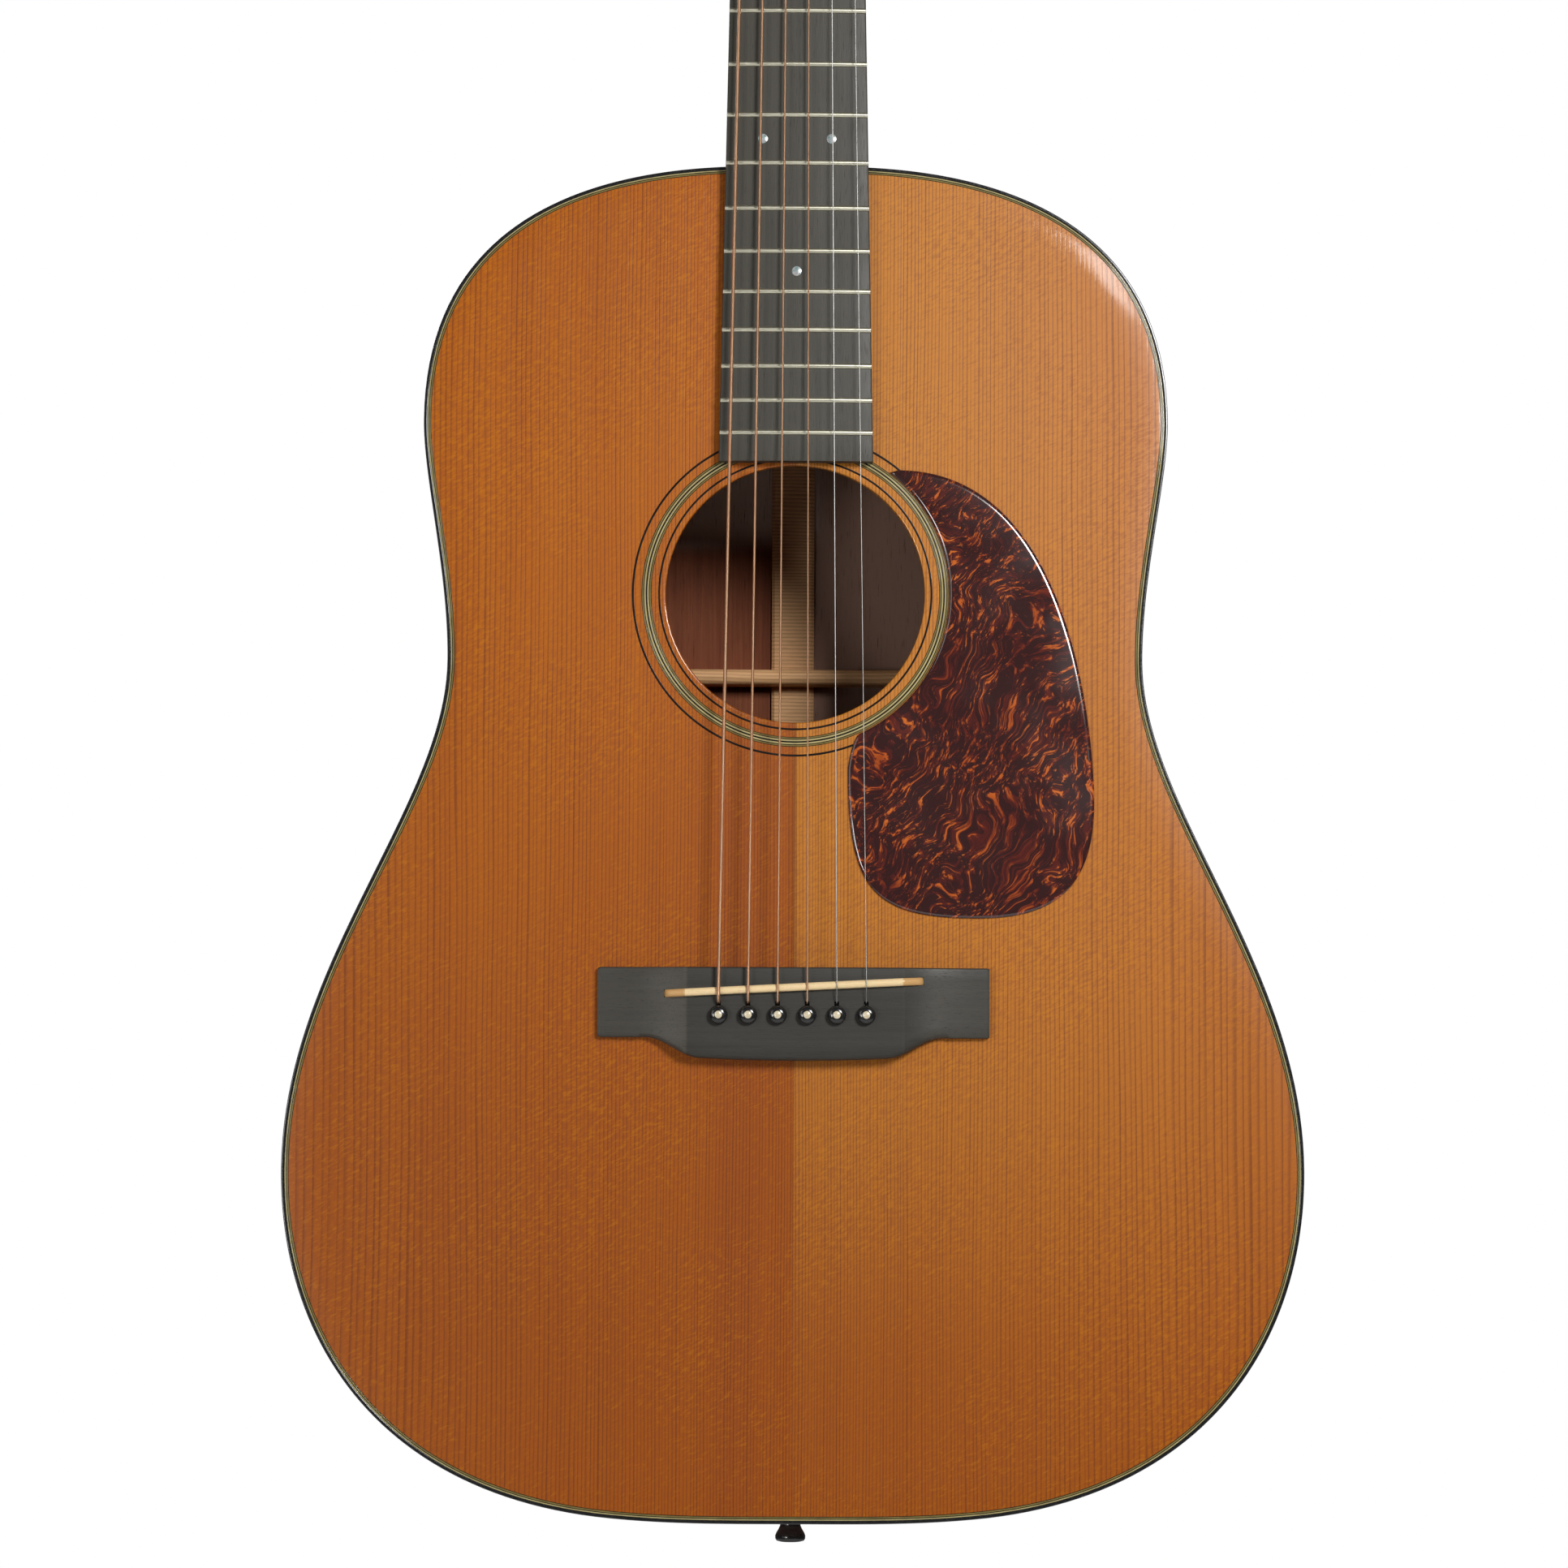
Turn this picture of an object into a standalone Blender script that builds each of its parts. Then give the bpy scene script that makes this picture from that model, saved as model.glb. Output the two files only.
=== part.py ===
"""Twelve-fret, slope-shouldered, steel-string flat-top guitar with a slotted headstock.

Metres, +Z up the neck, front (soundboard) facing -Y, treble side towards +X.
The origin is the centre of the end pin's outer face.
"""

import math

import bmesh
import bpy
from mathutils import Matrix, Vector
from mathutils.geometry import tessellate_polygon

MM = 0.001
GAP = 0.3 * MM  # between pieces that touch

# ---- body ----
BODY_LENGTH = 531.8 * MM
LOWER_BOUT = 397.8 * MM
LOWER_BOUT_AT = 136.2 * MM
WAIST = 272.6 * MM
WAIST_AT = 335.3 * MM
UPPER_BOUT = 293.2 * MM
UPPER_BOUT_AT = 429.8 * MM
TAIL_FLAT = 76.0 * MM  # half-width of the nearly straight tail
DEPTH_TAIL = 123.8 * MM
DEPTH_NECK = 98.4 * MM
BACK_ARCH_RADIUS = 4.6
BACK_LONG_ARCH = 4.0 * MM
TOP_THICK = 2.8 * MM
BACK_THICK = 2.8 * MM
SIDE_THICK = 2.2 * MM
BINDING_WIDTH = 1.5 * MM
PURFLING_WIDTH = 1.4 * MM
PURFLING_DEPTH = 2.0 * MM
BINDING_HEIGHT = 6.0 * MM
LINING_WIDTH = 6.0 * MM
LINING_LIP = 4.0 * MM
LINING_HEIGHT = 15.0 * MM
NECK_BLOCK_WIDTH = 90.0 * MM
NECK_BLOCK_LENGTH = 46.0 * MM
TAIL_BLOCK_WIDTH = 80.0 * MM
TAIL_BLOCK_LENGTH = 20.0 * MM
TENON_WIDTH = 22.0 * MM
TENON_LENGTH = 22.0 * MM
# ---- soundhole and what surrounds it ----
HOLE_BELOW_NECK = 170.2 * MM  # from the neck joint to the hole's centre
HOLE_RADIUS = 50.8 * MM
ROSETTE_MARGIN = 6.0 * MM  # from the hole's edge
ROSETTE_WIDTH = 3.4 * MM
ROSETTE_DEPTH = 1.2 * MM
PICKGUARD_THICK = 1.0 * MM
PICKGUARD_MARGIN = 9.8 * MM  # from the hole's edge to the concave edge
# ---- braces ----
X_BELOW_HOLE = 38.8 * MM  # from the hole's lower edge to the crossing
X_HALF_ANGLE = math.radians(48.0)
X_WIDTH = 8.0 * MM
X_HEIGHT = 15.0 * MM
X_TIP_HEIGHT = 4.0 * MM
BRACE_CLEAR = 2.0 * MM  # from a brace's end to a lining or another brace
TOP_CROSS_ABOVE_HOLE = 21.6 * MM  # above the hole's upper edge
TOP_CROSS_WIDTH = 10.0 * MM
TOP_CROSS_HEIGHT = 16.0 * MM
TONE_BAR_WIDTH = 6.5 * MM
TONE_BAR_HEIGHT = 11.0 * MM
TONE_BARS_BELOW_X = (136.5 * MM, 189.5 * MM)  # where each crosses the centreline
TONE_BAR_ANGLE = math.radians(16.0)
TONE_BAR_REACH = 122.0 * MM
BRIDGE_PLATE_THICK = 2.5 * MM
BACK_BRACES = (  # distance below the neck joint, width, height
    (63.8 * MM, 7.0 * MM, 13.0 * MM),
    (193.3 * MM, 6.4 * MM, 13.0 * MM),
    (336.8 * MM, 15.0 * MM, 9.0 * MM),
    (439.8 * MM, 15.0 * MM, 9.0 * MM),
)
STRIP_WIDTH = 17.6 * MM
STRIP_THICK = 2.0 * MM
# ---- bridge ----
BRIDGE_WIDTH = 152.4 * MM
BRIDGE_AHEAD = 5.6 * MM  # of the string length's end
BRIDGE_WING_BEHIND = 21.7 * MM
BRIDGE_BELLY_BEHIND = 30.6 * MM
BELLY_HALF = 40.0 * MM
BELLY_FLARE = 20.0 * MM
BRIDGE_HEIGHT = 8.8 * MM
BRIDGE_TIP_HEIGHT = 3.2 * MM
BRIDGE_RAISED_HALF = 43.0 * MM
SADDLE_LENGTH = 100.8 * MM
SADDLE_THICK = 3.0 * MM
SADDLE_BASS_BEHIND = 4.8 * MM  # of the string length's end
SADDLE_TREBLE_BEHIND = -0.4 * MM
SADDLE_DEPTH = 5.0 * MM
PINS_BEHIND = 12.9 * MM
PIN_PITCH = 11.46 * MM
PIN_CENTRE_X = -0.6 * MM
PIN_RADIUS = 2.5 * MM
PIN_HEAD_RADIUS = 3.7 * MM
PIN_HEAD_HEIGHT = 3.4 * MM
PIN_LENGTH = 19.0 * MM
# ---- end pin ----
END_PIN_OUT = 13.0 * MM
END_PIN_HEAD_RADIUS = 6.05 * MM
END_PIN_WAIST_RADIUS = 4.0 * MM
END_PIN_FLANGE_RADIUS = 6.5 * MM
END_PIN_SHAFT_RADIUS = 4.0 * MM
END_PIN_SHAFT_LENGTH = 17.0 * MM
# ---- neck and fingerboard ----
SCALE = 645.2 * MM
NUT_WIDTH = 44.4 * MM
BODY_FRET_WIDTH = 56.3 * MM
FRETS = 19
BOARD_THICK = 6.2 * MM
BOARD_PAST_LAST_FRET = 11.2 * MM
FRET_HEIGHT = 1.1 * MM
FRET_WIDTH = 2.0 * MM
NECK_DEPTH_NUT = 14.5 * MM
NECK_DEPTH_HEEL = 17.5 * MM
HEEL_LENGTH = 27.0 * MM
HEEL_CAP_THICK = 2.7 * MM
HEEL_CAP_WIDTH = 34.0 * MM
TRUSS_WIDTH = 6.4 * MM
TRUSS_DEPTH = 9.5 * MM
NUT_LENGTH = 5.0 * MM
NUT_ABOVE_BOARD = 2.9 * MM
# ---- headstock ----
HEAD_TILT = math.radians(15.0)
HEAD_LENGTH = 186.0 * MM
HEAD_HALF_WIDTH = 36.0 * MM
HEAD_THICK = 16.5 * MM
VENEER_THICK = 2.0 * MM
SLOT_INNER = 9.0 * MM
SLOT_OUTER = 23.0 * MM
SLOT_START = 24.0 * MM
SLOT_END = 150.0 * MM
# ---- tuners ----
FIRST_POST_AT = 62.0 * MM
POST_PITCH = 35.0 * MM
POST_RADIUS = 3.3 * MM
POST_HOLE_DEPTH = 3.5 * MM  # into the middle rib
WINDING_RADIUS = 4.6 * MM
WINDING_WIDTH = 4.0 * MM
PLATE_THICK = 1.2 * MM
PLATE_HEIGHT = 15.0 * MM
GEAR_TEETH = 14
GEAR_MODULE = 0.75 * MM
GEAR_THICK = 2.4 * MM
GEAR_OFFSET = 3.8 * MM  # from the plate to the gear's middle plane
WORM_PITCH_RADIUS = 2.6 * MM
WORM_TURNS = 3
SHAFT_RADIUS = 1.6 * MM
EAR_THICK = 1.5 * MM
GEAR_TIP = 0.55 * MM  # beyond the pitch circle
GEAR_ROOT = 0.8 * MM
WORM_TIP = 0.6 * MM
WORM_ROOT = 0.75 * MM
WORM_SHOULDER = 0.85 * MM  # plain bar at each end of the thread
BUTTON_WIDTH = 18.0 * MM
BUTTON_LENGTH = 15.0 * MM
BUTTON_THICK = 7.5 * MM
BUTTON_CLEAR = 4.5 * MM  # from the head's back to the button
# ---- strings ----
STRING_RADII = tuple(d * MM / 2 for d in (1.35, 1.07, 0.81, 0.61, 0.41, 0.30))
NUT_SPREAD = 38.0 * MM
STRING_AT_NUT = 0.45 * MM  # above the first fret
STRING_AT_SADDLE = 11.8 * MM  # above the soundboard
WINDING_X = (19.0 * MM, 16.2 * MM, 18.5 * MM)  # on each slot's first, second and third post

# ---- derived places ----
STRING_END_AT = BODY_LENGTH - SCALE / 2
HOLE_AT = BODY_LENGTH - HOLE_BELOW_NECK
ROSETTE_INNER = HOLE_RADIUS + ROSETTE_MARGIN
PICKGUARD_ARC = HOLE_RADIUS + PICKGUARD_MARGIN
X_CENTRE_AT = HOLE_AT - HOLE_RADIUS - X_BELOW_HOLE
TOP_CROSS_AT = HOLE_AT + HOLE_RADIUS + TOP_CROSS_ABOVE_HOLE
BRIDGE_FRONT_AT = STRING_END_AT + BRIDGE_AHEAD
BRIDGE_WING_REAR_AT = STRING_END_AT - BRIDGE_WING_BEHIND
BRIDGE_BELLY_AT = STRING_END_AT - BRIDGE_BELLY_BEHIND
SADDLE_BASS_AT = STRING_END_AT - SADDLE_BASS_BEHIND
SADDLE_TREBLE_AT = STRING_END_AT - SADDLE_TREBLE_BEHIND
PIN_AT = STRING_END_AT - PINS_BEHIND
WORM_PITCH = math.pi * GEAR_MODULE
THREAD_HALF = (WORM_TURNS / 2 + 0.26) * WORM_PITCH
EAR_SPAN = THREAD_HALF + WORM_SHOULDER + 2 * GAP  # from the worm's middle to each ear
TAIL = END_PIN_OUT
TOP_Y = -DEPTH_TAIL / 2
BODY_TOP_Z = TAIL + BODY_LENGTH
NUT_FACE_Z = BODY_TOP_Z + SCALE / 2
HEAD_Z = NUT_FACE_Z + NUT_LENGTH
PLATE_X = HEAD_HALF_WIDTH + GAP
GEAR_X = PLATE_X + PLATE_THICK + GEAR_OFFSET
TUNER_V = HEAD_THICK / 2
GEAR_PITCH_RADIUS = GEAR_MODULE * GEAR_TEETH / 2
WORM_DROP = GEAR_PITCH_RADIUS + WORM_PITCH_RADIUS
BOARD_TOP = GAP + BOARD_THICK
LINING_OFFSET = SIDE_THICK + GAP

for old in list(bpy.data.objects):
    bpy.data.objects.remove(old, do_unlink=True)


# ------------------------------------------------------------------ materials
def material(name, colour, roughness, metallic=0.0):
    made = bpy.data.materials.new(name)
    made.use_nodes = True
    shader = made.node_tree.nodes["Principled BSDF"]
    shader.inputs["Base Color"].default_value = (*colour, 1.0)
    shader.inputs["Roughness"].default_value = roughness
    shader.inputs["Metallic"].default_value = metallic
    made.diffuse_color = (*colour, 1.0)
    return made


SPRUCE = material("spruce_amber_gloss", (0.72, 0.33, 0.09), 0.25)
BRACE_WOOD = material("brace_spruce", (0.68, 0.50, 0.28), 0.7)
MAHOGANY = material("mahogany_gloss", (0.23, 0.075, 0.03), 0.3)
BLOCK_WOOD = material("block_mahogany", (0.34, 0.16, 0.08), 0.7)
EBONY = material("ebony", (0.02, 0.017, 0.015), 0.35)
BLACK_PLASTIC = material("black_plastic", (0.012, 0.012, 0.012), 0.2)
INLAY = material("rosette_inlay", (0.42, 0.36, 0.2), 0.3)
TORTOISE = material("tortoise_plastic", (0.08, 0.025, 0.012), 0.1)
BONE = material("bone", (0.82, 0.72, 0.48), 0.35)
NICKEL = material("nickel", (0.62, 0.6, 0.56), 0.25, 1.0)
BRONZE = material("bronze_winding", (0.62, 0.36, 0.2), 0.35, 1.0)
STEEL = material("steel_wire", (0.65, 0.65, 0.65), 0.25, 1.0)


# ------------------------------------------------------------- mesh utilities
def add_object(name, bm, mat, smooth=None):
    """A named object whose mesh is the given bmesh, with its faces turned outwards."""
    bmesh.ops.recalc_face_normals(bm, faces=bm.faces)
    mesh = bpy.data.meshes.new(name)
    bm.to_mesh(mesh)
    bm.free()
    if smooth is not None:
        mesh.shade_smooth()
        mesh.set_sharp_from_angle(angle=math.radians(smooth))
    mesh.materials.append(mat)
    made = bpy.data.objects.new(name, mesh)
    bpy.context.scene.collection.objects.link(made)
    return made


def loft(bm, rings, closed=False):
    """Bridges rings of equal length; an open loft is capped, a closed one runs back to its start."""
    rows = [[bm.verts.new(p) for p in ring] for ring in rings]
    pairs = list(zip(rows, rows[1:])) + ([(rows[-1], rows[0])] if closed else [])
    for near, far in pairs:
        for i in range(len(near)):
            j = (i + 1) % len(near)
            bm.faces.new((near[i], near[j], far[j], far[i]))
    if not closed:
        bm.faces.new(rows[0])
        bm.faces.new(rows[-1][::-1])


def prism(bm, outline, place, low, high, holes=()):
    """Extrudes a flat outline with holes from level low to high; place(a, b, level) gives the point."""
    loops = [list(outline)] + [list(hole) for hole in holes]
    flat = [p for loop in loops for p in loop]
    triangles = tessellate_polygon([[Vector((a, b, 0)) for a, b in loop] for loop in loops])
    bottom = [bm.verts.new(place(a, b, low)) for a, b in flat]
    top = [bm.verts.new(place(a, b, high)) for a, b in flat]
    for tri in triangles:
        bm.faces.new([bottom[i] for i in tri])
        bm.faces.new([top[i] for i in reversed(tri)])
    start = 0
    for loop in loops:
        for i in range(len(loop)):
            a, b = start + i, start + (i + 1) % len(loop)
            bm.faces.new((bottom[a], bottom[b], top[b], top[a]))
        start += len(loop)


def turned(bm, profile, place, sides=16):
    """Turns (radius, along) points; place(a, b, along) gives the point. Zero radii close the ends."""
    rings = []
    for radius, along in profile:
        if radius == 0:
            rings.append([bm.verts.new(place(0, 0, along))])
            continue
        angles = [2 * math.pi * (i + 0.5) / sides for i in range(sides)]
        rings.append(
            [bm.verts.new(place(radius * math.cos(t), radius * math.sin(t), along)) for t in angles]
        )
    for near, far in zip(rings, rings[1:]):
        for i in range(sides):
            j = (i + 1) % sides
            corners = [near[i % len(near)], near[j % len(near)], far[j % len(far)], far[i % len(far)]]
            bm.faces.new(list(dict.fromkeys(corners)))


def tube(bm, points, radius, sides=6):
    """A round bar along a path, with its rings turned to each bend's bisector."""
    rings = []
    for i, point in enumerate(points):
        before = points[max(i - 1, 0)]
        after = points[min(i + 1, len(points) - 1)]
        along = (after - before).normalized()
        across = Vector((1, 0, 0))
        side = along.cross(across).normalized()
        across = side.cross(along).normalized()
        angles = [2 * math.pi * k / sides for k in range(sides)]
        rings.append(
            [point + radius * (math.cos(t) * across + math.sin(t) * side) for t in angles]
        )
    loft(bm, rings)


def circle(radius, sides=16, centre=(0.0, 0.0)):
    angles = [2 * math.pi * (i + 0.5) / sides for i in range(sides)]
    return [(centre[0] + radius * math.cos(t), centre[1] + radius * math.sin(t)) for t in angles]


def bezier(points, steps, last=False):
    """Points along one cubic; the end point is left out unless asked for."""
    a, b, c, d = (Vector(p) for p in points)
    made = []
    for i in range(steps + (1 if last else 0)):
        t = i / steps
        s = 1 - t
        made.append(s**3 * a + 3 * s * s * t * b + 3 * s * t * t * c + t**3 * d)
    return made


def combine(target, other, operation):
    """Applies an exact Boolean to target and drops the other object."""
    step = target.modifiers.new(operation.lower(), "BOOLEAN")
    step.operation = operation
    step.object = other
    step.solver = "EXACT"
    graph = bpy.context.evaluated_depsgraph_get()
    made = bpy.data.meshes.new_from_object(target.evaluated_get(graph))
    target.modifiers.clear()
    old = target.data
    target.data = made
    bpy.data.meshes.remove(old)
    made.name = target.name
    drop = other.data
    bpy.data.objects.remove(other, do_unlink=True)
    bpy.data.meshes.remove(drop)


def cut(target, bm):
    combine(target, add_object("cutter", bm, EBONY), "DIFFERENCE")


def fuse(target, bm):
    combine(target, add_object("joined", bm, target.data.materials[0]), "UNION")


# --------------------------------------------------------------- body's shape
def half_outline(offset=0.0):
    """The treble half of the body's outline, neck to tail, as (x, up-the-body) points, moved in by offset."""
    u, w, l = UPPER_BOUT / 2, WAIST / 2, LOWER_BOUT / 2
    end, zu, zw, zl = BODY_LENGTH, UPPER_BOUT_AT, WAIST_AT, LOWER_BOUT_AT
    k, rise = TAIL_FLAT, 2.6 * MM
    points = bezier(((0, end), (24 * MM, end), (u, end + 8.2 * MM), (u, zu)), 9)
    points += bezier(((u, zu), (u, zu - 22.5 * MM), (w, zw + 34.7 * MM), (w, zw)), 5)
    points += bezier(((w, zw), (w, zw - 57.7 * MM), (l, zl + 80.5 * MM), (l, zl)), 7)
    points += bezier(((l, zl), (l, zl - 64.2 * MM), (k + 85.7 * MM, rise + 10.3 * MM), (k, rise)), 8)
    points += bezier(((k, rise), (k - 25 * MM, -0.3 * MM), (k / 3, 0), (0, 0)), 2, last=True)
    moved = []
    for i, point in enumerate(points):
        along = points[min(i + 1, len(points) - 1)] - points[max(i - 1, 0)]
        if point.x == 0:
            along = Vector((1 if i == 0 else -1, 0))
        inward = Vector((along.y, -along.x)).normalized()
        moved.append(point + offset * inward)
    return moved


def whole_outline(offset=0.0):
    half = half_outline(offset)
    return half + [Vector((-p.x, p.y)) for p in half[-2:0:-1]]


def back_y(x, up):
    """The back's outer surface: deeper towards the tail, arched along and across."""
    t = up / BODY_LENGTH
    depth = DEPTH_TAIL + (DEPTH_NECK - DEPTH_TAIL) * t + 4 * BACK_LONG_ARCH * t * (1 - t)
    return TOP_Y + depth - x * x / (2 * BACK_ARCH_RADIUS)


def flat(a, b, level):
    """Soundboard-plane placing: a across, b up the body, level in front of the soundboard's face."""
    return Vector((a, TOP_Y - level, TAIL + b))


def rim_point(point, depth=None, above_back=None):
    """A point below the soundboard's face by depth, or in from the back's surface by above_back."""
    y = TOP_Y + depth if depth is not None else back_y(point.x, point.y) - above_back
    return Vector((point.x, y, TAIL + point.y))


def soundhole_ring(radius, sides=40):
    return circle(radius, sides, (0.0, HOLE_AT))


def pin_places():
    return [PIN_CENTRE_X + (i - 2.5) * PIN_PITCH for i in range(6)]


def pin_slot(x):
    """The hole for a pin, lengthened forwards for the string beside it."""
    r = PIN_RADIUS + GAP
    front = PIN_HEAD_RADIUS + 2 * GAP + 2 * STRING_RADII[0] - r
    points = []
    for i in range(5):
        t = math.pi * (1 + i / 4)
        points.append((x + r * math.cos(t), PIN_AT + r * math.sin(t)))
    for i in range(5):
        t = math.pi * i / 4
        points.append((x + r * math.cos(t), PIN_AT + front + r * math.sin(t)))
    return points


def make_soundboard():
    bm = bmesh.new()
    edge = whole_outline(BINDING_WIDTH + PURFLING_WIDTH + GAP)
    holes = [soundhole_ring(HOLE_RADIUS)] + [pin_slot(x) for x in pin_places()]
    prism(bm, edge, flat, -TOP_THICK, 0, holes)
    board = add_object("soundboard", bm, SPRUCE)
    bm = bmesh.new()
    outer = soundhole_ring(ROSETTE_INNER + ROSETTE_WIDTH + GAP)
    inner = soundhole_ring(ROSETTE_INNER - GAP)
    prism(bm, outer, flat, -ROSETTE_DEPTH - GAP, 2 * MM, [inner])
    cut(board, bm)


def make_rosette():
    bm = bmesh.new()
    outer = soundhole_ring(ROSETTE_INNER + ROSETTE_WIDTH)
    prism(bm, outer, flat, -ROSETTE_DEPTH, 0, [soundhole_ring(ROSETTE_INNER)])
    add_object("rosette", bm, INLAY)


def make_back():
    """A domed plate: rings of the outline drawn in towards its middle, on both faces."""
    edge = whole_outline(BINDING_WIDTH + GAP)
    middle = Vector((0, 0.55 * BODY_LENGTH))
    bm = bmesh.new()
    faces = []
    for level in (0.0, BACK_THICK):
        rings = []
        for share in (1.0, 0.7, 0.36):
            ring = [middle + share * (p - middle) for p in edge]
            rings.append([bm.verts.new(rim_point(p, above_back=level)) for p in ring])
        centre = bm.verts.new(rim_point(middle, above_back=level))
        count = len(edge)
        for near, far in zip(rings, rings[1:]):
            for i in range(count):
                j = (i + 1) % count
                bm.faces.new((near[i], near[j], far[j], far[i]))
        for i in range(count):
            bm.faces.new((rings[-1][i], rings[-1][(i + 1) % count], centre))
        faces.append(rings[0])
    for i in range(len(edge)):
        j = (i + 1) % len(edge)
        bm.faces.new((faces[0][i], faces[0][j], faces[1][j], faces[1][i]))
    add_object("back", bm, MAHOGANY, 30)


def side_half(offset, sign):
    """Half-outline clamped clear of the neck's tenon and of the tail seam."""
    half = half_outline(offset)
    made = []
    for i, point in enumerate(half):
        least = TENON_WIDTH / 2 + GAP if i < len(half) / 2 else GAP / 2
        made.append(Vector((sign * max(point.x, least), point.y)))
    kept = [p for p in made[1:]]
    return kept


def make_sides():
    low = BINDING_HEIGHT + GAP
    for name, sign in (("side_bass", -1), ("side_treble", 1)):
        outer, inner = side_half(0.0, sign), side_half(SIDE_THICK, sign)
        rings = [
            [
                rim_point(o, depth=low),
                rim_point(i, depth=low),
                rim_point(i, above_back=low),
                rim_point(o, above_back=low),
            ]
            for o, i in zip(outer, inner)
        ]
        bm = bmesh.new()
        loft(bm, rings)
        side = add_object(name, bm, MAHOGANY, 30)
        cut(side, end_pin_hole())


def end_pin_place(a, b, along):
    return Vector((a, b, along))


def end_pin_hole():
    bm = bmesh.new()
    reach = TAIL + END_PIN_SHAFT_LENGTH + 1 * MM
    turned(
        bm,
        [(0, TAIL - 5 * MM), (END_PIN_SHAFT_RADIUS + GAP, TAIL - 5 * MM),
         (END_PIN_SHAFT_RADIUS + GAP, reach), (0, reach)],
        end_pin_place,
    )
    return bm


def make_end_pin():
    bm = bmesh.new()
    r, w, f, s = END_PIN_HEAD_RADIUS, END_PIN_WAIST_RADIUS, END_PIN_FLANGE_RADIUS, END_PIN_SHAFT_RADIUS
    seat = TAIL - GAP
    profile = [
        (0, 0), (r - 1.2 * MM, 0), (r, 1.0 * MM), (r, 3.2 * MM), (w + 0.6 * MM, 5.6 * MM), (w, 7.0 * MM),
        (w + 0.6 * MM, 8.6 * MM), (f, seat - 2 * MM), (f, seat), (s, seat),
        (s, TAIL + END_PIN_SHAFT_LENGTH), (0, TAIL + END_PIN_SHAFT_LENGTH),
    ]
    turned(bm, profile, end_pin_place, 16)
    add_object("end_pin", bm, BLACK_PLASTIC, 40)


def make_bindings():
    w, p, h, d = BINDING_WIDTH, PURFLING_WIDTH, BINDING_HEIGHT, PURFLING_DEPTH
    rims = {o: whole_outline(o) for o in (0.0, w, w + p)}
    rings = []
    for a, b, c in zip(rims[0.0], rims[w], rims[w + p]):
        rings.append(
            [
                rim_point(a, depth=0), rim_point(c, depth=0), rim_point(c, depth=d),
                rim_point(b, depth=d), rim_point(b, depth=h), rim_point(a, depth=h),
            ]
        )
    bm = bmesh.new()
    loft(bm, rings, closed=True)
    add_object("top_binding", bm, BLACK_PLASTIC, 30)
    rings = []
    for a, b in zip(rims[0.0], rims[w]):
        rings.append(
            [
                rim_point(a, above_back=0), rim_point(b, above_back=0),
                rim_point(b, above_back=h), rim_point(a, above_back=h),
            ]
        )
    bm = bmesh.new()
    loft(bm, rings, closed=True)
    add_object("back_binding", bm, BLACK_PLASTIC, 30)


def lining_runs(offsets, sign):
    """Lines at several offsets between the two end blocks, all stopped just short of each block."""
    halves = [half_outline(offset) for offset in offsets]
    count = len(halves[0])

    def clear(i):
        limit = (NECK_BLOCK_WIDTH if i < count / 2 else TAIL_BLOCK_WIDTH) / 2 + GAP
        return min((half[i].x - limit) for half in halves)

    kept = [i for i in range(count) if clear(i) >= 0]
    runs = []
    for half in halves:
        run = []
        for outside, inside in ((kept[0] - 1, kept[0]), (kept[-1] + 1, kept[-1])):
            share = clear(inside) / (clear(inside) - clear(outside))
            run.append(half[inside] + share * (half[outside] - half[inside]))
        run = [run[0]] + [half[i] for i in kept] + [run[1]]
        runs.append([Vector((sign * p.x, p.y)) for p in run])
    return runs


def make_linings():
    near, lip, far = LINING_OFFSET, LINING_OFFSET + LINING_WIDTH, LINING_OFFSET + 1.2 * MM
    for side, sign in (("bass", -1), ("treble", 1)):
        runs = lining_runs((near, lip, far), sign)
        for plate, thick in (("top", TOP_THICK), ("back", BACK_THICK)):
            key = "depth" if plate == "top" else "above_back"
            start = thick + (GAP if plate == "top" else 1.5 * GAP)
            rings = []
            for a, b, c in zip(*runs):
                corners = (
                    (a, start), (b, start), (b, start + LINING_LIP),
                    (c, start + LINING_HEIGHT), (a, start + LINING_HEIGHT),
                )
                rings.append([rim_point(p, **{key: level}) for p, level in corners])
            bm = bmesh.new()
            loft(bm, rings)
            add_object(f"{plate}_lining_{side}", bm, BRACE_WOOD)


def block_prism(bm, outline):
    """A block that stands on the soundboard's underside and reaches the back's inner surface."""
    top = [bm.verts.new(rim_point(Vector(p), depth=TOP_THICK + GAP)) for p in outline]
    low = [bm.verts.new(rim_point(Vector(p), above_back=BACK_THICK + 1.5 * GAP)) for p in outline]
    bm.faces.new(top)
    bm.faces.new(low[::-1])
    for i in range(len(outline)):
        j = (i + 1) % len(outline)
        bm.faces.new((top[i], top[j], low[j], low[i]))


def block_edge(half_width, upper):
    """Points of the inner wall within half_width of the centreline, treble to bass."""
    half = half_outline(LINING_OFFSET)
    half = half[: len(half) // 2] if upper else half[::-1][: len(half) // 2]
    run = []
    for a, b in zip(half, half[1:]):
        run.append(a)
        if b.x > half_width:
            run.append(a + (half_width - a.x) / (b.x - a.x) * (b - a))
            break
    return run


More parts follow.
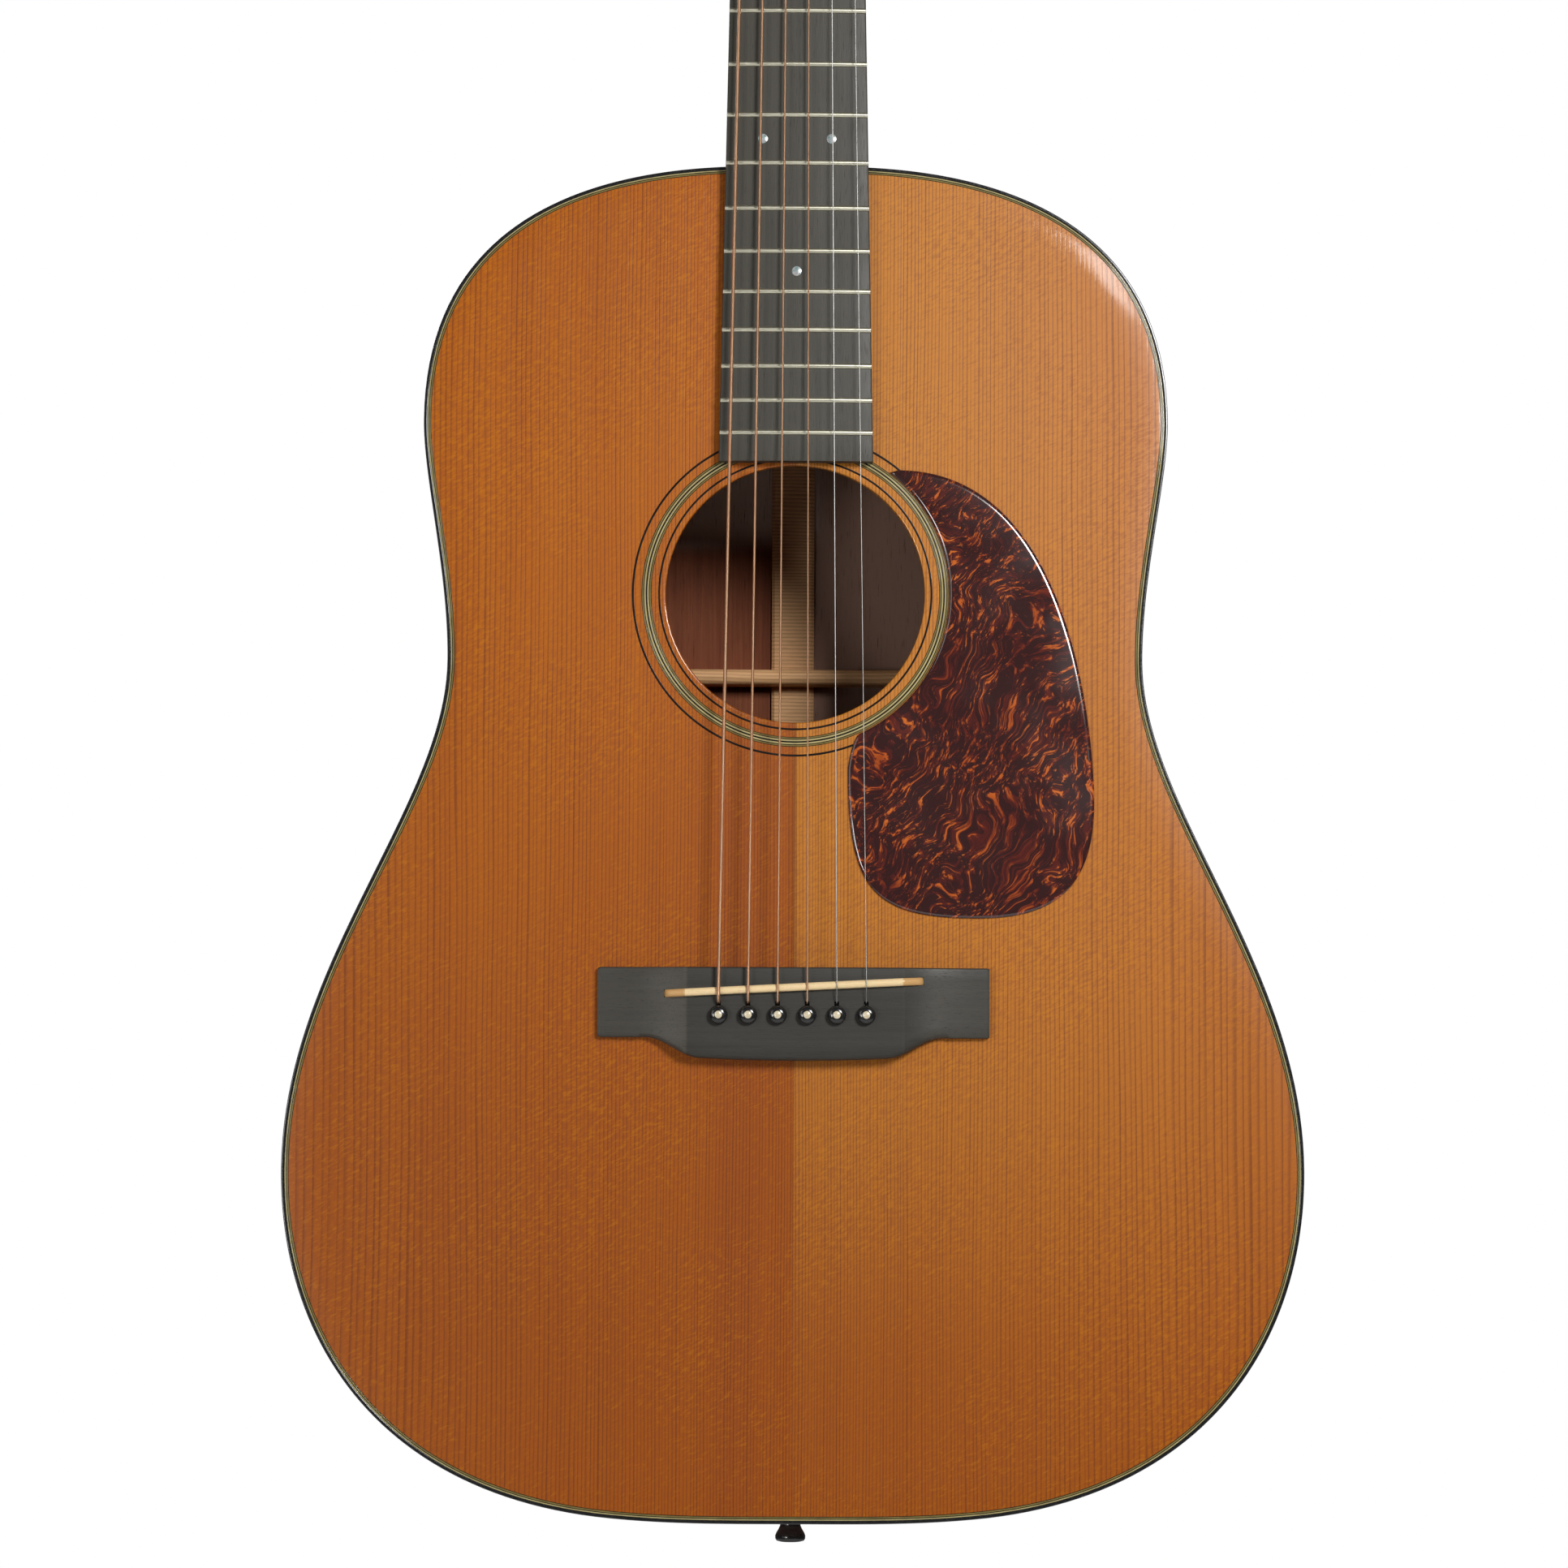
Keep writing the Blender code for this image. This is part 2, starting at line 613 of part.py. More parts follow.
def make_blocks():
    run = block_edge(NECK_BLOCK_WIDTH / 2, True)
    foot = BODY_LENGTH - NECK_BLOCK_LENGTH
    slot, root = TENON_WIDTH / 2 + GAP, BODY_LENGTH - TENON_LENGTH - 2 * GAP
    outer = [p for p in run if p.x > slot]
    first = Vector((slot, outer[0].y))
    right = [Vector((slot, root)), first] + outer + [Vector((NECK_BLOCK_WIDTH / 2, foot))]
    bm = bmesh.new()
    block_prism(bm, right + [Vector((-p.x, p.y)) for p in reversed(right)])
    add_object("neck_block", bm, BLOCK_WOOD)
    run = block_edge(TAIL_BLOCK_WIDTH / 2, False)
    right = run + [Vector((TAIL_BLOCK_WIDTH / 2, TAIL_BLOCK_LENGTH + LINING_OFFSET))]
    bm = bmesh.new()
    block_prism(bm, right + [Vector((-p.x, p.y)) for p in reversed(right[1:])])
    block = add_object("tail_block", bm, BLOCK_WOOD)
    cut(block, end_pin_hole())


# --------------------------------------------------------------------- braces
def brace(name, start, end, width, profile):
    """A bar under the soundboard from start to end; profile is (distance, depth below the plate)."""
    start, end = Vector(start), Vector(end)
    along = (end - start).normalized()
    across = Vector((along.y, -along.x))
    under = TOP_THICK + GAP

    def place(s, depth, level):
        point = start + s * along + level * across
        return Vector((point.x, TOP_Y + under + depth, TAIL + point.y))

    bm = bmesh.new()
    prism(bm, profile, place, -width / 2, width / 2)
    add_object(name, bm, BRACE_WOOD)


def lip_offset():
    return LINING_OFFSET + LINING_WIDTH + BRACE_CLEAR


def reach_to_lining(start, way, half_thick):
    """How far a bar may run from start before its corners near the lining."""
    across = Vector((way.y, -way.x)) * half_thick
    length = 0.0
    while length < BODY_LENGTH:
        tip = start + way * (length + 1 * MM)
        if any(abs(p.x) > half_width_at(p.y, lip_offset()) for p in (tip - across, tip + across)):
            break
        length += 1 * MM
    return length


def make_x_brace():
    direction = Vector((math.sin(X_HALF_ANGLE), math.cos(X_HALF_ANGLE)))
    centre = Vector((0, X_CENTRE_AT))
    upper = reach_to_lining(centre, direction, X_WIDTH / 2)
    total = upper + reach_to_lining(centre, -direction, X_WIDTH / 2)
    notch = X_WIDTH / math.sin(2 * X_HALF_ANGLE) / 2 + 0.9 * MM
    c, h, tip, half = upper, X_HEIGHT, X_TIP_HEIGHT, X_HEIGHT / 2
    shape_a = [
        (0, 0), (total, 0), (total, tip), (total - 45 * MM, tip + 1 * MM), (total - 90 * MM, h * 0.75),
        (c + 60 * MM, h * 0.7), (c + notch, h), (c + notch, half - GAP / 2), (c - notch, half - GAP / 2),
        (c - notch, h), (c - 60 * MM, h * 0.85), (35 * MM, tip + 1 * MM), (0, tip),
    ]
    shape_b = [
        (0, 0), (c - notch, 0), (c - notch, half + GAP / 2), (c + notch, half + GAP / 2), (c + notch, 0),
        (total, 0), (total, tip), (total - 45 * MM, tip + 1 * MM), (total - 90 * MM, h * 0.75),
        (c + 60 * MM, h * 0.7), (c + 25 * MM, h), (c - 25 * MM, h), (c - 60 * MM, h * 0.85),
        (35 * MM, tip + 1 * MM), (0, tip),
    ]
    for name, sign, shape in (("x_brace_treble_leg", -1, shape_a), ("x_brace_bass_leg", 1, shape_b)):
        way = Vector((sign * direction.x, direction.y))
        brace(name, centre + way * upper, centre - way * (total - upper), X_WIDTH, shape)


def bar_profile(length, height, tip=3.0 * MM, ramp=30.0 * MM):
    return [(0, 0), (length, 0), (length, tip), (length - ramp, height), (ramp, height), (0, tip)]


def half_width_at(up, offset):
    """Half-width inside the given offset at a distance up the body."""
    half = half_outline(offset)
    for a, b in zip(half, half[1:]):
        if b.y <= up <= a.y:
            return a.x + (a.y - up) / (a.y - b.y) * (b.x - a.x)
    return 0.0


def tone_bar_reach(middle, way):
    """How far a tone bar runs: to its own length, the lining or the X leg, whichever comes first."""
    length = 0.0
    need = (X_WIDTH + TONE_BAR_WIDTH) / 2 + BRACE_CLEAR
    across = Vector((math.cos(X_HALF_ANGLE), math.sin(X_HALF_ANGLE)))
    while length < min(TONE_BAR_REACH, reach_to_lining(middle, way, TONE_BAR_WIDTH / 2)):
        tip = middle + way * (length + 1 * MM)
        if (Vector((abs(tip.x), tip.y)) - Vector((0, X_CENTRE_AT))).dot(across) > -need:
            break
        length += 1 * MM
    return length


def make_top_braces():
    reach = min(
        half_width_at(TOP_CROSS_AT + d, lip_offset()) for d in (-TOP_CROSS_WIDTH, 0, TOP_CROSS_WIDTH)
    )
    brace(
        "top_cross_brace", (-reach, TOP_CROSS_AT), (reach, TOP_CROSS_AT), TOP_CROSS_WIDTH,
        bar_profile(2 * reach, TOP_CROSS_HEIGHT),
    )
    way = Vector((math.cos(TONE_BAR_ANGLE), math.sin(TONE_BAR_ANGLE)))
    for name, below in zip(("tone_bar_upper", "tone_bar_lower"), TONE_BARS_BELOW_X):
        middle = Vector((0, X_CENTRE_AT - below))
        start = middle + way * tone_bar_reach(middle, way)
        end = middle - way * tone_bar_reach(middle, -way)
        profile = bar_profile((end - start).length, TONE_BAR_HEIGHT)
        brace(name, start, end, TONE_BAR_WIDTH, profile)


def make_bridge_plate():
    """A thin hardwood patch between the X legs, behind the pins."""
    edge = (X_WIDTH / 2 + 2 * MM) / math.sin(X_HALF_ANGLE)

    def reach(up):
        return (X_CENTRE_AT - up - edge) * math.tan(X_HALF_ANGLE)

    top, low = BRIDGE_FRONT_AT + 3 * MM, BRIDGE_BELLY_AT - 2 * MM
    wide = min(reach(low), BRIDGE_WIDTH / 2)
    outline = [(-reach(top), top), (reach(top), top), (wide, low), (-wide, low)]
    bm = bmesh.new()
    under = -TOP_THICK - GAP
    holes = [pin_slot(x) for x in pin_places()]
    prism(bm, outline, flat, under - BRIDGE_PLATE_THICK, under, holes)
    add_object("bridge_plate", bm, BLOCK_WOOD)


def make_back_braces():
    lip = lip_offset()
    seat = BACK_THICK + 1.5 * GAP
    notch, notch_depth = STRIP_WIDTH / 2 + GAP, STRIP_THICK + 2 * GAP
    for number, (below, width, height) in enumerate(BACK_BRACES, 1):
        up = BODY_LENGTH - below
        reach = min(half_width_at(up + d, lip) for d in (-width / 2, 0, width / 2))
        steps = 6
        right = [(notch + (reach - notch) * i / steps, 0.0) for i in range(steps + 1)]
        upper = [(notch, notch_depth)] + right
        lower = [(reach, 3 * MM), (reach - 30 * MM, height), (notch, height)]
        ring = [(-x, d) for x, d in reversed(upper)] + upper + lower
        ring += [(-x, d) for x, d in reversed(lower)]
        rings = []
        for end in (-width / 2, width / 2):
            rings.append([rim_point(Vector((x, up + end)), above_back=seat + d) for x, d in ring])
        bm = bmesh.new()
        loft(bm, rings)
        add_object(f"back_brace_{number}", bm, BRACE_WOOD)


def make_centre_strip():
    low = TAIL_BLOCK_LENGTH + LINING_OFFSET + 2 * GAP
    high = BODY_LENGTH - NECK_BLOCK_LENGTH - 2 * GAP
    seat, half = BACK_THICK + 1.5 * GAP, STRIP_WIDTH / 2
    rings = []
    for i in range(15):
        up = low + (high - low) * i / 14
        rings.append(
            [
                rim_point(Vector((-half, up)), above_back=seat),
                rim_point(Vector((half, up)), above_back=seat),
                rim_point(Vector((half, up)), above_back=seat + STRIP_THICK),
                rim_point(Vector((-half, up)), above_back=seat + STRIP_THICK),
            ]
        )
    bm = bmesh.new()
    loft(bm, rings)
    add_object("back_centre_strip", bm, BRACE_WOOD)


# ------------------------------------------------------- pickguard and bridge
def make_pickguard():
    start, end = math.radians(-65.6), math.radians(52.5)
    arc = [
        (PICKGUARD_ARC * math.cos(a), HOLE_AT + PICKGUARD_ARC * math.sin(a))
        for a in (start + (end - start) * i / 12 for i in range(13))
    ]
    top, low = arc[-1][1] + 1.0 * MM, HOLE_AT - 127.3 * MM
    right, left = 117.3 * MM, 20.8 * MM
    side, turn = HOLE_AT - 81.3 * MM, HOLE_AT - 70.0 * MM
    start = arc[-1][0] + 3.5 * MM
    edge = bezier(((start, top), (115 * MM, top), (right, side + 8 * MM), (right, side)), 9)
    edge += bezier(((right, side), (right, side - 35 * MM), (101 * MM, low), (71 * MM, low)), 6)
    edge += bezier(((71 * MM, low), (31 * MM, low), (left, turn - 47 * MM), (left, turn)), 7)
    edge += bezier(((left, turn), (left, turn + 4 * MM), (23 * MM, turn + 13 * MM), arc[0]), 2)
    bm = bmesh.new()
    prism(bm, arc + [tuple(p) for p in edge], flat, GAP, GAP + PICKGUARD_THICK)
    add_object("pickguard", bm, TORTOISE)


def saddle_line(share):
    """The saddle's middle line, from bass (0) to treble (1)."""
    x = (share - 0.5) * SADDLE_LENGTH
    return Vector((x, SADDLE_BASS_AT + (SADDLE_TREBLE_AT - SADDLE_BASS_AT) * share))


def saddle_box(bm, low, high, grow=0.0):
    a, b = saddle_line(0), saddle_line(1)
    along = (b - a).normalized()
    across = Vector((-along.y, along.x)) * (SADDLE_THICK / 2 + grow)
    a, b = a - grow * along, b + grow * along
    outline = [tuple(p) for p in (a - across, b - across, b + across, a + across)]
    prism(bm, outline, flat, low, high)


def bridge_height(x):
    """Flat in the middle, scooped down to thin wings."""
    over = abs(x) - BRIDGE_RAISED_HALF
    if over <= 0:
        return BRIDGE_HEIGHT
    t = min(over / (BRIDGE_WIDTH / 2 - BRIDGE_RAISED_HALF), 1.0)
    return BRIDGE_TIP_HEIGHT + (BRIDGE_HEIGHT - BRIDGE_TIP_HEIGHT) * (1 - t) ** 2.2


def bridge_rear(x):
    """The rear edge: straight wings, a smooth step, and a flat belly."""
    t = min(max((abs(x) - BELLY_HALF) / BELLY_FLARE, 0.0), 1.0)
    return BRIDGE_BELLY_AT + (BRIDGE_WING_REAR_AT - BRIDGE_BELLY_AT) * t * t * (3 - 2 * t)


def make_bridge():
    half = BRIDGE_WIDTH / 2
    right = [0.0, BELLY_HALF, BRIDGE_RAISED_HALF]
    right += [BELLY_HALF + BELLY_FLARE * k / 4 for k in range(1, 5)] + [0.9 * half, half]
    right = sorted(set(right))
    stations = [-x for x in reversed(right[1:])] + right
    rings = []
    for x in stations:
        top, front, rear = bridge_height(x), BRIDGE_FRONT_AT, bridge_rear(x)
        bevel = 1.0 * MM
        rings.append(
            [
                flat(x, front, GAP), flat(x, front, top - bevel), flat(x, front - bevel, top),
                flat(x, rear + bevel, top), flat(x, rear, top - bevel), flat(x, rear, GAP),
            ]
        )
    bm = bmesh.new()
    loft(bm, rings)
    bridge = add_object("bridge", bm, EBONY)
    bm = bmesh.new()
    saddle_box(bm, BRIDGE_HEIGHT - SADDLE_DEPTH - GAP, BRIDGE_HEIGHT + 5 * MM, GAP)
    cut(bridge, bm)
    bm = bmesh.new()
    for x in pin_places():
        prism(bm, pin_slot(x), flat, -2 * MM, BRIDGE_HEIGHT + 3 * MM)
    cut(bridge, bm)


def make_saddle():
    bm = bmesh.new()
    saddle_box(bm, BRIDGE_HEIGHT - SADDLE_DEPTH, STRING_AT_SADDLE - GAP)
    add_object("saddle", bm, BONE)


def make_bridge_pins():
    base = BRIDGE_HEIGHT + GAP
    for number, x in enumerate(pin_places(), 1):

        def place(a, b, along, x=x):
            return flat(x + a, PIN_AT + b, along)

        r, head = PIN_RADIUS, PIN_HEAD_RADIUS
        profile = [
            (0, base + PIN_HEAD_HEIGHT), (head * 0.55, base + PIN_HEAD_HEIGHT * 0.88),
            (head * 0.92, base + PIN_HEAD_HEIGHT * 0.55), (head, base + PIN_HEAD_HEIGHT * 0.25),
            (head * 0.9, base), (r, base), (r * 0.75, base - PIN_LENGTH), (0, base - PIN_LENGTH),
        ]
        bm = bmesh.new()
        turned(bm, profile, place, 10)
        add_object(f"bridge_pin_{number}", bm, BLACK_PLASTIC, 40)


# ----------------------------------------------------------- neck and the head
def board_half(from_nut):
    """Half the fingerboard's width at a distance from the nut towards the body."""
    slope = (BODY_FRET_WIDTH - NUT_WIDTH) / (SCALE / 2)
    return (NUT_WIDTH + slope * from_nut) / 2


def fret_at(number):
    return SCALE * (1 - 2 ** (-number / 12))


def make_fingerboard():
    """The board and its frets, from their long section, widened towards the body."""
    length = fret_at(FRETS) + BOARD_PAST_LAST_FRET
    side = [(0.0, GAP), (0.0, BOARD_TOP)]
    for number in range(1, FRETS + 1):
        s, w, h = fret_at(number), FRET_WIDTH / 2, FRET_HEIGHT
        side += [(s - w, BOARD_TOP), (s - 0.6 * w, BOARD_TOP + h), (s + 0.6 * w, BOARD_TOP + h),
                 (s + w, BOARD_TOP)]
    side += [(length, BOARD_TOP), (length, GAP)]

    def place(s, level, across):
        return Vector((across * board_half(s), TOP_Y - level, NUT_FACE_Z - s))

    bm = bmesh.new()
    prism(bm, side, place, -1, 1)
    add_object("fingerboard", bm, EBONY)


def head_point(x, u, v):
    """Head coordinates: u up the head from the nut, v back from its wooden face."""
    s, c = math.sin(HEAD_TILT), math.cos(HEAD_TILT)
    return Vector((x, TOP_Y + u * s + v * c, HEAD_Z + u * c - v * s))


def head_half(u):
    """The head's half-width: it flares from the nut, runs parallel, then rounds over."""
    flare, round_over = 22 * MM, 26 * MM
    start = NUT_WIDTH / 2
    if u < flare:
        t = u / flare
        return start + (HEAD_HALF_WIDTH - start) * t * t * (3 - 2 * t)
    if u > HEAD_LENGTH - round_over:
        t = (u - HEAD_LENGTH + round_over) / round_over
        return HEAD_HALF_WIDTH * (0.42 + 0.58 * math.sqrt(max(1 - t * t, 0)))
    return HEAD_HALF_WIDTH


HEAD_STATIONS = [0.0, 4, 8, 12, 16, 22, 90, HEAD_LENGTH / MM - 26, HEAD_LENGTH / MM - 17,
                 HEAD_LENGTH / MM - 9, HEAD_LENGTH / MM - 3.5, HEAD_LENGTH / MM]


def neck_ring(a, b, depth, place):
    """A D-shaped section: flat on top with half-width a, and a bottom flat of half-width b."""
    steps = 6
    right = []
    for i in range(steps + 1):
        t = math.pi / 2 * i / steps
        right.append((b + (a - b) * math.cos(t), depth * math.sin(t)))
    return [place(x, d) for x, d in right] + [place(-x, d) for x, d in reversed(right)]


def make_neck():
    heel = DEPTH_NECK - HEEL_CAP_THICK - GAP
    w, k = HEEL_CAP_WIDTH / 2, HEEL_LENGTH
    plan = [  # distance above the body, depth, half-width of the flat at the bottom
        (GAP, heel, w), (0.33 * k, heel, 0.95 * w), (0.63 * k, heel, 0.78 * w), (0.85 * k, heel, 0.5 * w),
        (k, heel, 0.12 * w), (k + 3 * MM, heel * 0.86, 0.8 * MM), (k + 7 * MM, heel * 0.66, 0.8 * MM),
        (k + 13 * MM, heel * 0.48, 0.8 * MM), (k + 21 * MM, heel * 0.34, 0.8 * MM),
        (k + 33 * MM, heel * 0.245, 0.8 * MM), (k + 50 * MM, NECK_DEPTH_HEEL + 1.2 * MM, 0.8 * MM),
        (k + 75 * MM, NECK_DEPTH_HEEL, 0.8 * MM),
        (NUT_FACE_Z - BODY_TOP_Z - 14 * MM, NECK_DEPTH_NUT, 0.8 * MM),
    ]
    rings = []
    for above, depth, b in plan:
        z = BODY_TOP_Z + above
        a = board_half(NUT_FACE_Z - z)
        rings.append(neck_ring(a, b, depth, lambda x, d, z=z: Vector((x, TOP_Y + d, z))))
    for u in HEAD_STATIONS:
        u *= MM
        a = head_half(u)
        share = min(u / (20 * MM), 1.0)
        b = 0.8 * MM + (a - 0.8 * MM) * share
        rings.append(neck_ring(a, b, HEAD_THICK, lambda x, d, u=u: head_point(x, u, d)))
    bm = bmesh.new()
    loft(bm, rings)
    neck = add_object("neck", bm, MAHOGANY, 30)
    half, root = TENON_WIDTH / 2, BODY_LENGTH - TENON_LENGTH
    outline = [(-half, root), (half, root), (half, BODY_LENGTH + 3 * MM), (-half, BODY_LENGTH + 3 * MM)]
    bm = bmesh.new()
    prism(bm, outline, flat, -heel + 6 * MM, -BINDING_HEIGHT - GAP)
    fuse(neck, bm)
    bm = bmesh.new()
    channel = TRUSS_WIDTH / 2 + GAP
    ends = (BODY_LENGTH + 8 * MM, NUT_FACE_Z - TAIL - 6 * MM)
    outline = [(-channel, ends[0]), (channel, ends[0]), (channel, ends[1]), (-channel, ends[1])]
    prism(bm, outline, flat, -TRUSS_DEPTH - GAP, 5 * MM)
    cut(neck, bm)
    bm = bmesh.new()
    for sign in (-1, 1):
        prism(bm, slot_outline(sign), head_point, -3 * MM, HEAD_THICK + 3 * MM)
    cut(neck, bm)
    bm = bmesh.new()
    for sign in (-1, 1):
        for u in post_places():
            inner = SLOT_INNER - POST_HOLE_DEPTH
            r = POST_RADIUS + GAP
            turned(
                bm, [(0, inner), (r, inner), (r, HEAD_HALF_WIDTH + 3 * MM), (0, HEAD_HALF_WIDTH + 3 * MM)],
                lambda a, b, x, u=u, sign=sign: head_point(sign * x, u + a, TUNER_V + b), 12,
            )
    cut(neck, bm)


def make_heel_cap():
    w, k = HEEL_CAP_WIDTH / 2, HEEL_LENGTH
    right = [(w, GAP), (0.95 * w, 0.33 * k), (0.78 * w, 0.63 * k), (0.5 * w, 0.85 * k), (0.12 * w, k)]
    outline = right + [(-x, z) for x, z in reversed(right)]
    bm = bmesh.new()
    prism(
        bm, outline, lambda a, b, level: Vector((a, TOP_Y + level, BODY_TOP_Z + b)),
        DEPTH_NECK - HEEL_CAP_THICK, DEPTH_NECK,
    )
    add_object("heel_cap", bm, BLACK_PLASTIC)


def make_truss_rod():
    half = TRUSS_WIDTH / 2
    low, high = BODY_LENGTH + 8 * MM + GAP, NUT_FACE_Z - TAIL - 6 * MM - GAP
    bm = bmesh.new()
    outline = [(-half, low), (half, low), (half, high), (-half, high)]
    prism(bm, outline, flat, -TRUSS_DEPTH, -GAP)
    add_object("truss_rod", bm, STEEL)


def slot_outline(sign, grow=0.0):
    """A slot in the head with round ends, in head coordinates."""
    middle, r = (SLOT_INNER + SLOT_OUTER) / 2, (SLOT_OUTER - SLOT_INNER) / 2 + grow
    points = []
    for end, start in ((SLOT_END - grow - r, 0), (SLOT_START + grow + r, math.pi)):
        for i in range(7):
            t = start + math.pi * i / 6
            points.append((sign * (middle + r * math.cos(t)), end + r * math.sin(t)))
    return points


def make_head_veneer():
    right = [(head_half(u * MM), max(u * MM, 0.6 * MM)) for u in HEAD_STATIONS]
    outline = right + [(-x, u) for x, u in reversed(right)]
    bm = bmesh.new()
    holes = [slot_outline(-1), slot_outline(1)]
    prism(bm, outline, head_point, -GAP - VENEER_THICK, -GAP, holes)
    add_object("head_veneer", bm, EBONY)


def string_x_at_nut(number):
    return (number - 3.5) / 5 * NUT_SPREAD


def string_level_at_nut(number):
    return BOARD_TOP + FRET_HEIGHT + STRING_AT_NUT + STRING_RADII[number - 1]


def make_nut():
    half, top = NUT_WIDTH / 2, BOARD_TOP + NUT_ABOVE_BOARD
    low, high = NUT_FACE_Z + GAP, NUT_FACE_Z + NUT_LENGTH - GAP
    side = [(low, GAP), (low, top), (high - 1.5 * MM, top), (high, top - 1.8 * MM), (high, GAP)]
    bm = bmesh.new()
    prism(bm, side, lambda z, level, x: Vector((x, TOP_Y - level, z)), -half, half)
    nut = add_object("nut", bm, BONE)
    bm = bmesh.new()
    for number in range(1, 7):
        x, level = string_x_at_nut(number), string_level_at_nut(number)
        r = STRING_RADII[number - 1] + GAP
        outline = [(x - r, level - r * 0.4), (x - r * 0.4, level - r), (x + r * 0.4, level - r),
                   (x + r, level - r * 0.4), (x + r, top + 1 * MM), (x - r, top + 1 * MM)]
        prism(bm, outline, lambda a, b, z: Vector((a, TOP_Y - b, z)), low - 2 * MM, high + 2 * MM)
    cut(nut, bm)


# --------------------------------------------------------------------- tuners
def post_places():
    return [FIRST_POST_AT + i * POST_PITCH for i in range(3)]


def tuner_of(number):
    """String 1 to 6, bass to treble: its side and which post it winds on, counted from the nut."""
    return (-1, number - 1) if number <= 3 else (1, 6 - number)


def make_strings():
    for number in range(1, 7):
        r = STRING_RADII[number - 1]
        x_pin = pin_places()[number - 1]
        share = 0.5 + x_pin / SADDLE_LENGTH
        rest = saddle_line(share)
        up = PIN_AT + PIN_HEAD_RADIUS + GAP + r
        level = string_level_at_nut(number)
        x_nut = string_x_at_nut(number)
        sign, post = tuner_of(number)
        u = post_places()[post]
        over = TUNER_V - WINDING_RADIUS - GAP - r
        points = [
            flat(x_pin, up, -TOP_THICK - BRIDGE_PLATE_THICK - 3 * MM),
            flat(x_pin, up, BRIDGE_HEIGHT + 0.2 * MM),
            flat(x_pin, up + 0.5 * MM, BRIDGE_HEIGHT + r + 1.1 * MM),
            flat(x_pin, rest.y - SADDLE_THICK / 2 - GAP, STRING_AT_SADDLE + r),
            flat(x_pin, rest.y + SADDLE_THICK / 2 + GAP, STRING_AT_SADDLE + r),
            flat(x_nut, NUT_FACE_Z - TAIL, level),
            flat(x_nut, HEAD_Z - TAIL, level),
            head_point(sign * WINDING_X[post], u, over),
        ]
        bm = bmesh.new()
        tube(bm, points, r)
        add_object(f"string_{number}", bm, BRONZE if number <= 4 else STEEL, 60)


def make_tuner_plates():
    first, last = post_places()[0], post_places()[-1]
    low, high = first - WORM_DROP - 9 * MM, last + 13 * MM
    half, corner = PLATE_HEIGHT / 2, 4 * MM
    for name, sign in (("tuner_plate_bass", -1), ("tuner_plate_treble", 1)):
        outline = [
            (low + corner, -half), (high - corner, -half), (high, -half + corner), (high, half - corner),
            (high - corner, half), (low + corner, half), (low, half - corner), (low, -half + corner),
        ]
        holes = [circle(POST_RADIUS + GAP, 10, (u, 0.0)) for u in post_places()]
        bm = bmesh.new()
        prism(
            bm, outline, lambda u, v, x, sign=sign: head_point(sign * x, u, TUNER_V + v),
            PLATE_X, PLATE_X + PLATE_THICK, holes,
        )
        plate = add_object(name, bm, NICKEL)
        bm = bmesh.new()
        inner, outer = PLATE_X + PLATE_THICK * 0.4, GEAR_X + WORM_PITCH_RADIUS + WORM_TIP + 0.2 * MM
        for u in post_places():
            axis, wide = u - WORM_DROP, 3.4 * MM
            ear = [(inner, axis - wide), (outer, axis - wide), (outer, axis + wide), (inner, axis + wide)]
            hole = circle(SHAFT_RADIUS + GAP, 8, (GEAR_X, axis))
            for start in (-EAR_SPAN - EAR_THICK, EAR_SPAN):
                prism(
                    bm, ear, lambda x, u, v, sign=sign: head_point(sign * x, u, TUNER_V + v),
                    start, start + EAR_THICK, [hole],
                )
        fuse(plate, bm)


def worm_thread(bm, root, tip, pitch, low_end, high_end, sides=10):
    """A right-handed screw thread of whole turns on a round bar along Z, middle crest at z = 0, angle 0."""
    flank, crest = 0.16 * pitch, 0.20 * pitch
    half = crest / 2 + flank
    start = -WORM_TURNS / 2 * pitch
    count = WORM_TURNS * sides

    def at(radius, angle, z):
        return bm.verts.new((radius * math.cos(angle), radius * math.sin(angle), z))

    offsets = ((root, -half), (tip, -crest / 2), (tip, crest / 2), (root, half))
    thread = []
    for i in range(count + 1):
        angle = 2 * math.pi * i / sides + math.pi * (WORM_TURNS % 2)
        z = start + pitch * i / sides
        thread.append([at(r, angle, z + dz) for r, dz in offsets])
    begin = [at(root, 2 * math.pi * i / sides + math.pi * (WORM_TURNS % 2), low_end) for i in range(sides)]
    finish = [at(root, 2 * math.pi * i / sides + math.pi * (WORM_TURNS % 2), high_end) for i in range(sides)]
    for i in range(count):
        a, b = thread[i], thread[i + 1]
        for k in range(3):
            bm.faces.new((a[k], b[k], b[k + 1], a[k + 1]))
    for i in range(count - sides):
        a, b, c, d = thread[i][3], thread[i + 1][3], thread[i + 1 + sides][0], thread[i + sides][0]
        bm.faces.new((a, b, c, d))
    for i in range(sides):
        j = (i + 1) % sides
        if i < sides - 1:
            bm.faces.new((begin[i], begin[j], thread[i + 1][0], thread[i][0]))
        else:
            bm.faces.new((begin[i], begin[0], thread[0][0], thread[0][3], thread[sides][0], thread[i][0]))
    base = count - sides
    for i in range(sides):
        j = (i + 1) % sides
        near, far = thread[base + i][3], thread[base + i + 1][3]
        if i > 0:
            bm.faces.new((near, far, finish[j], finish[i]))
        else:
            bm.faces.new((near, far, finish[1], finish[0], thread[count][3], thread[count][0]))
    bm.faces.new(list(reversed(thread[0])))
    bm.faces.new(thread[count])
    return begin, finish


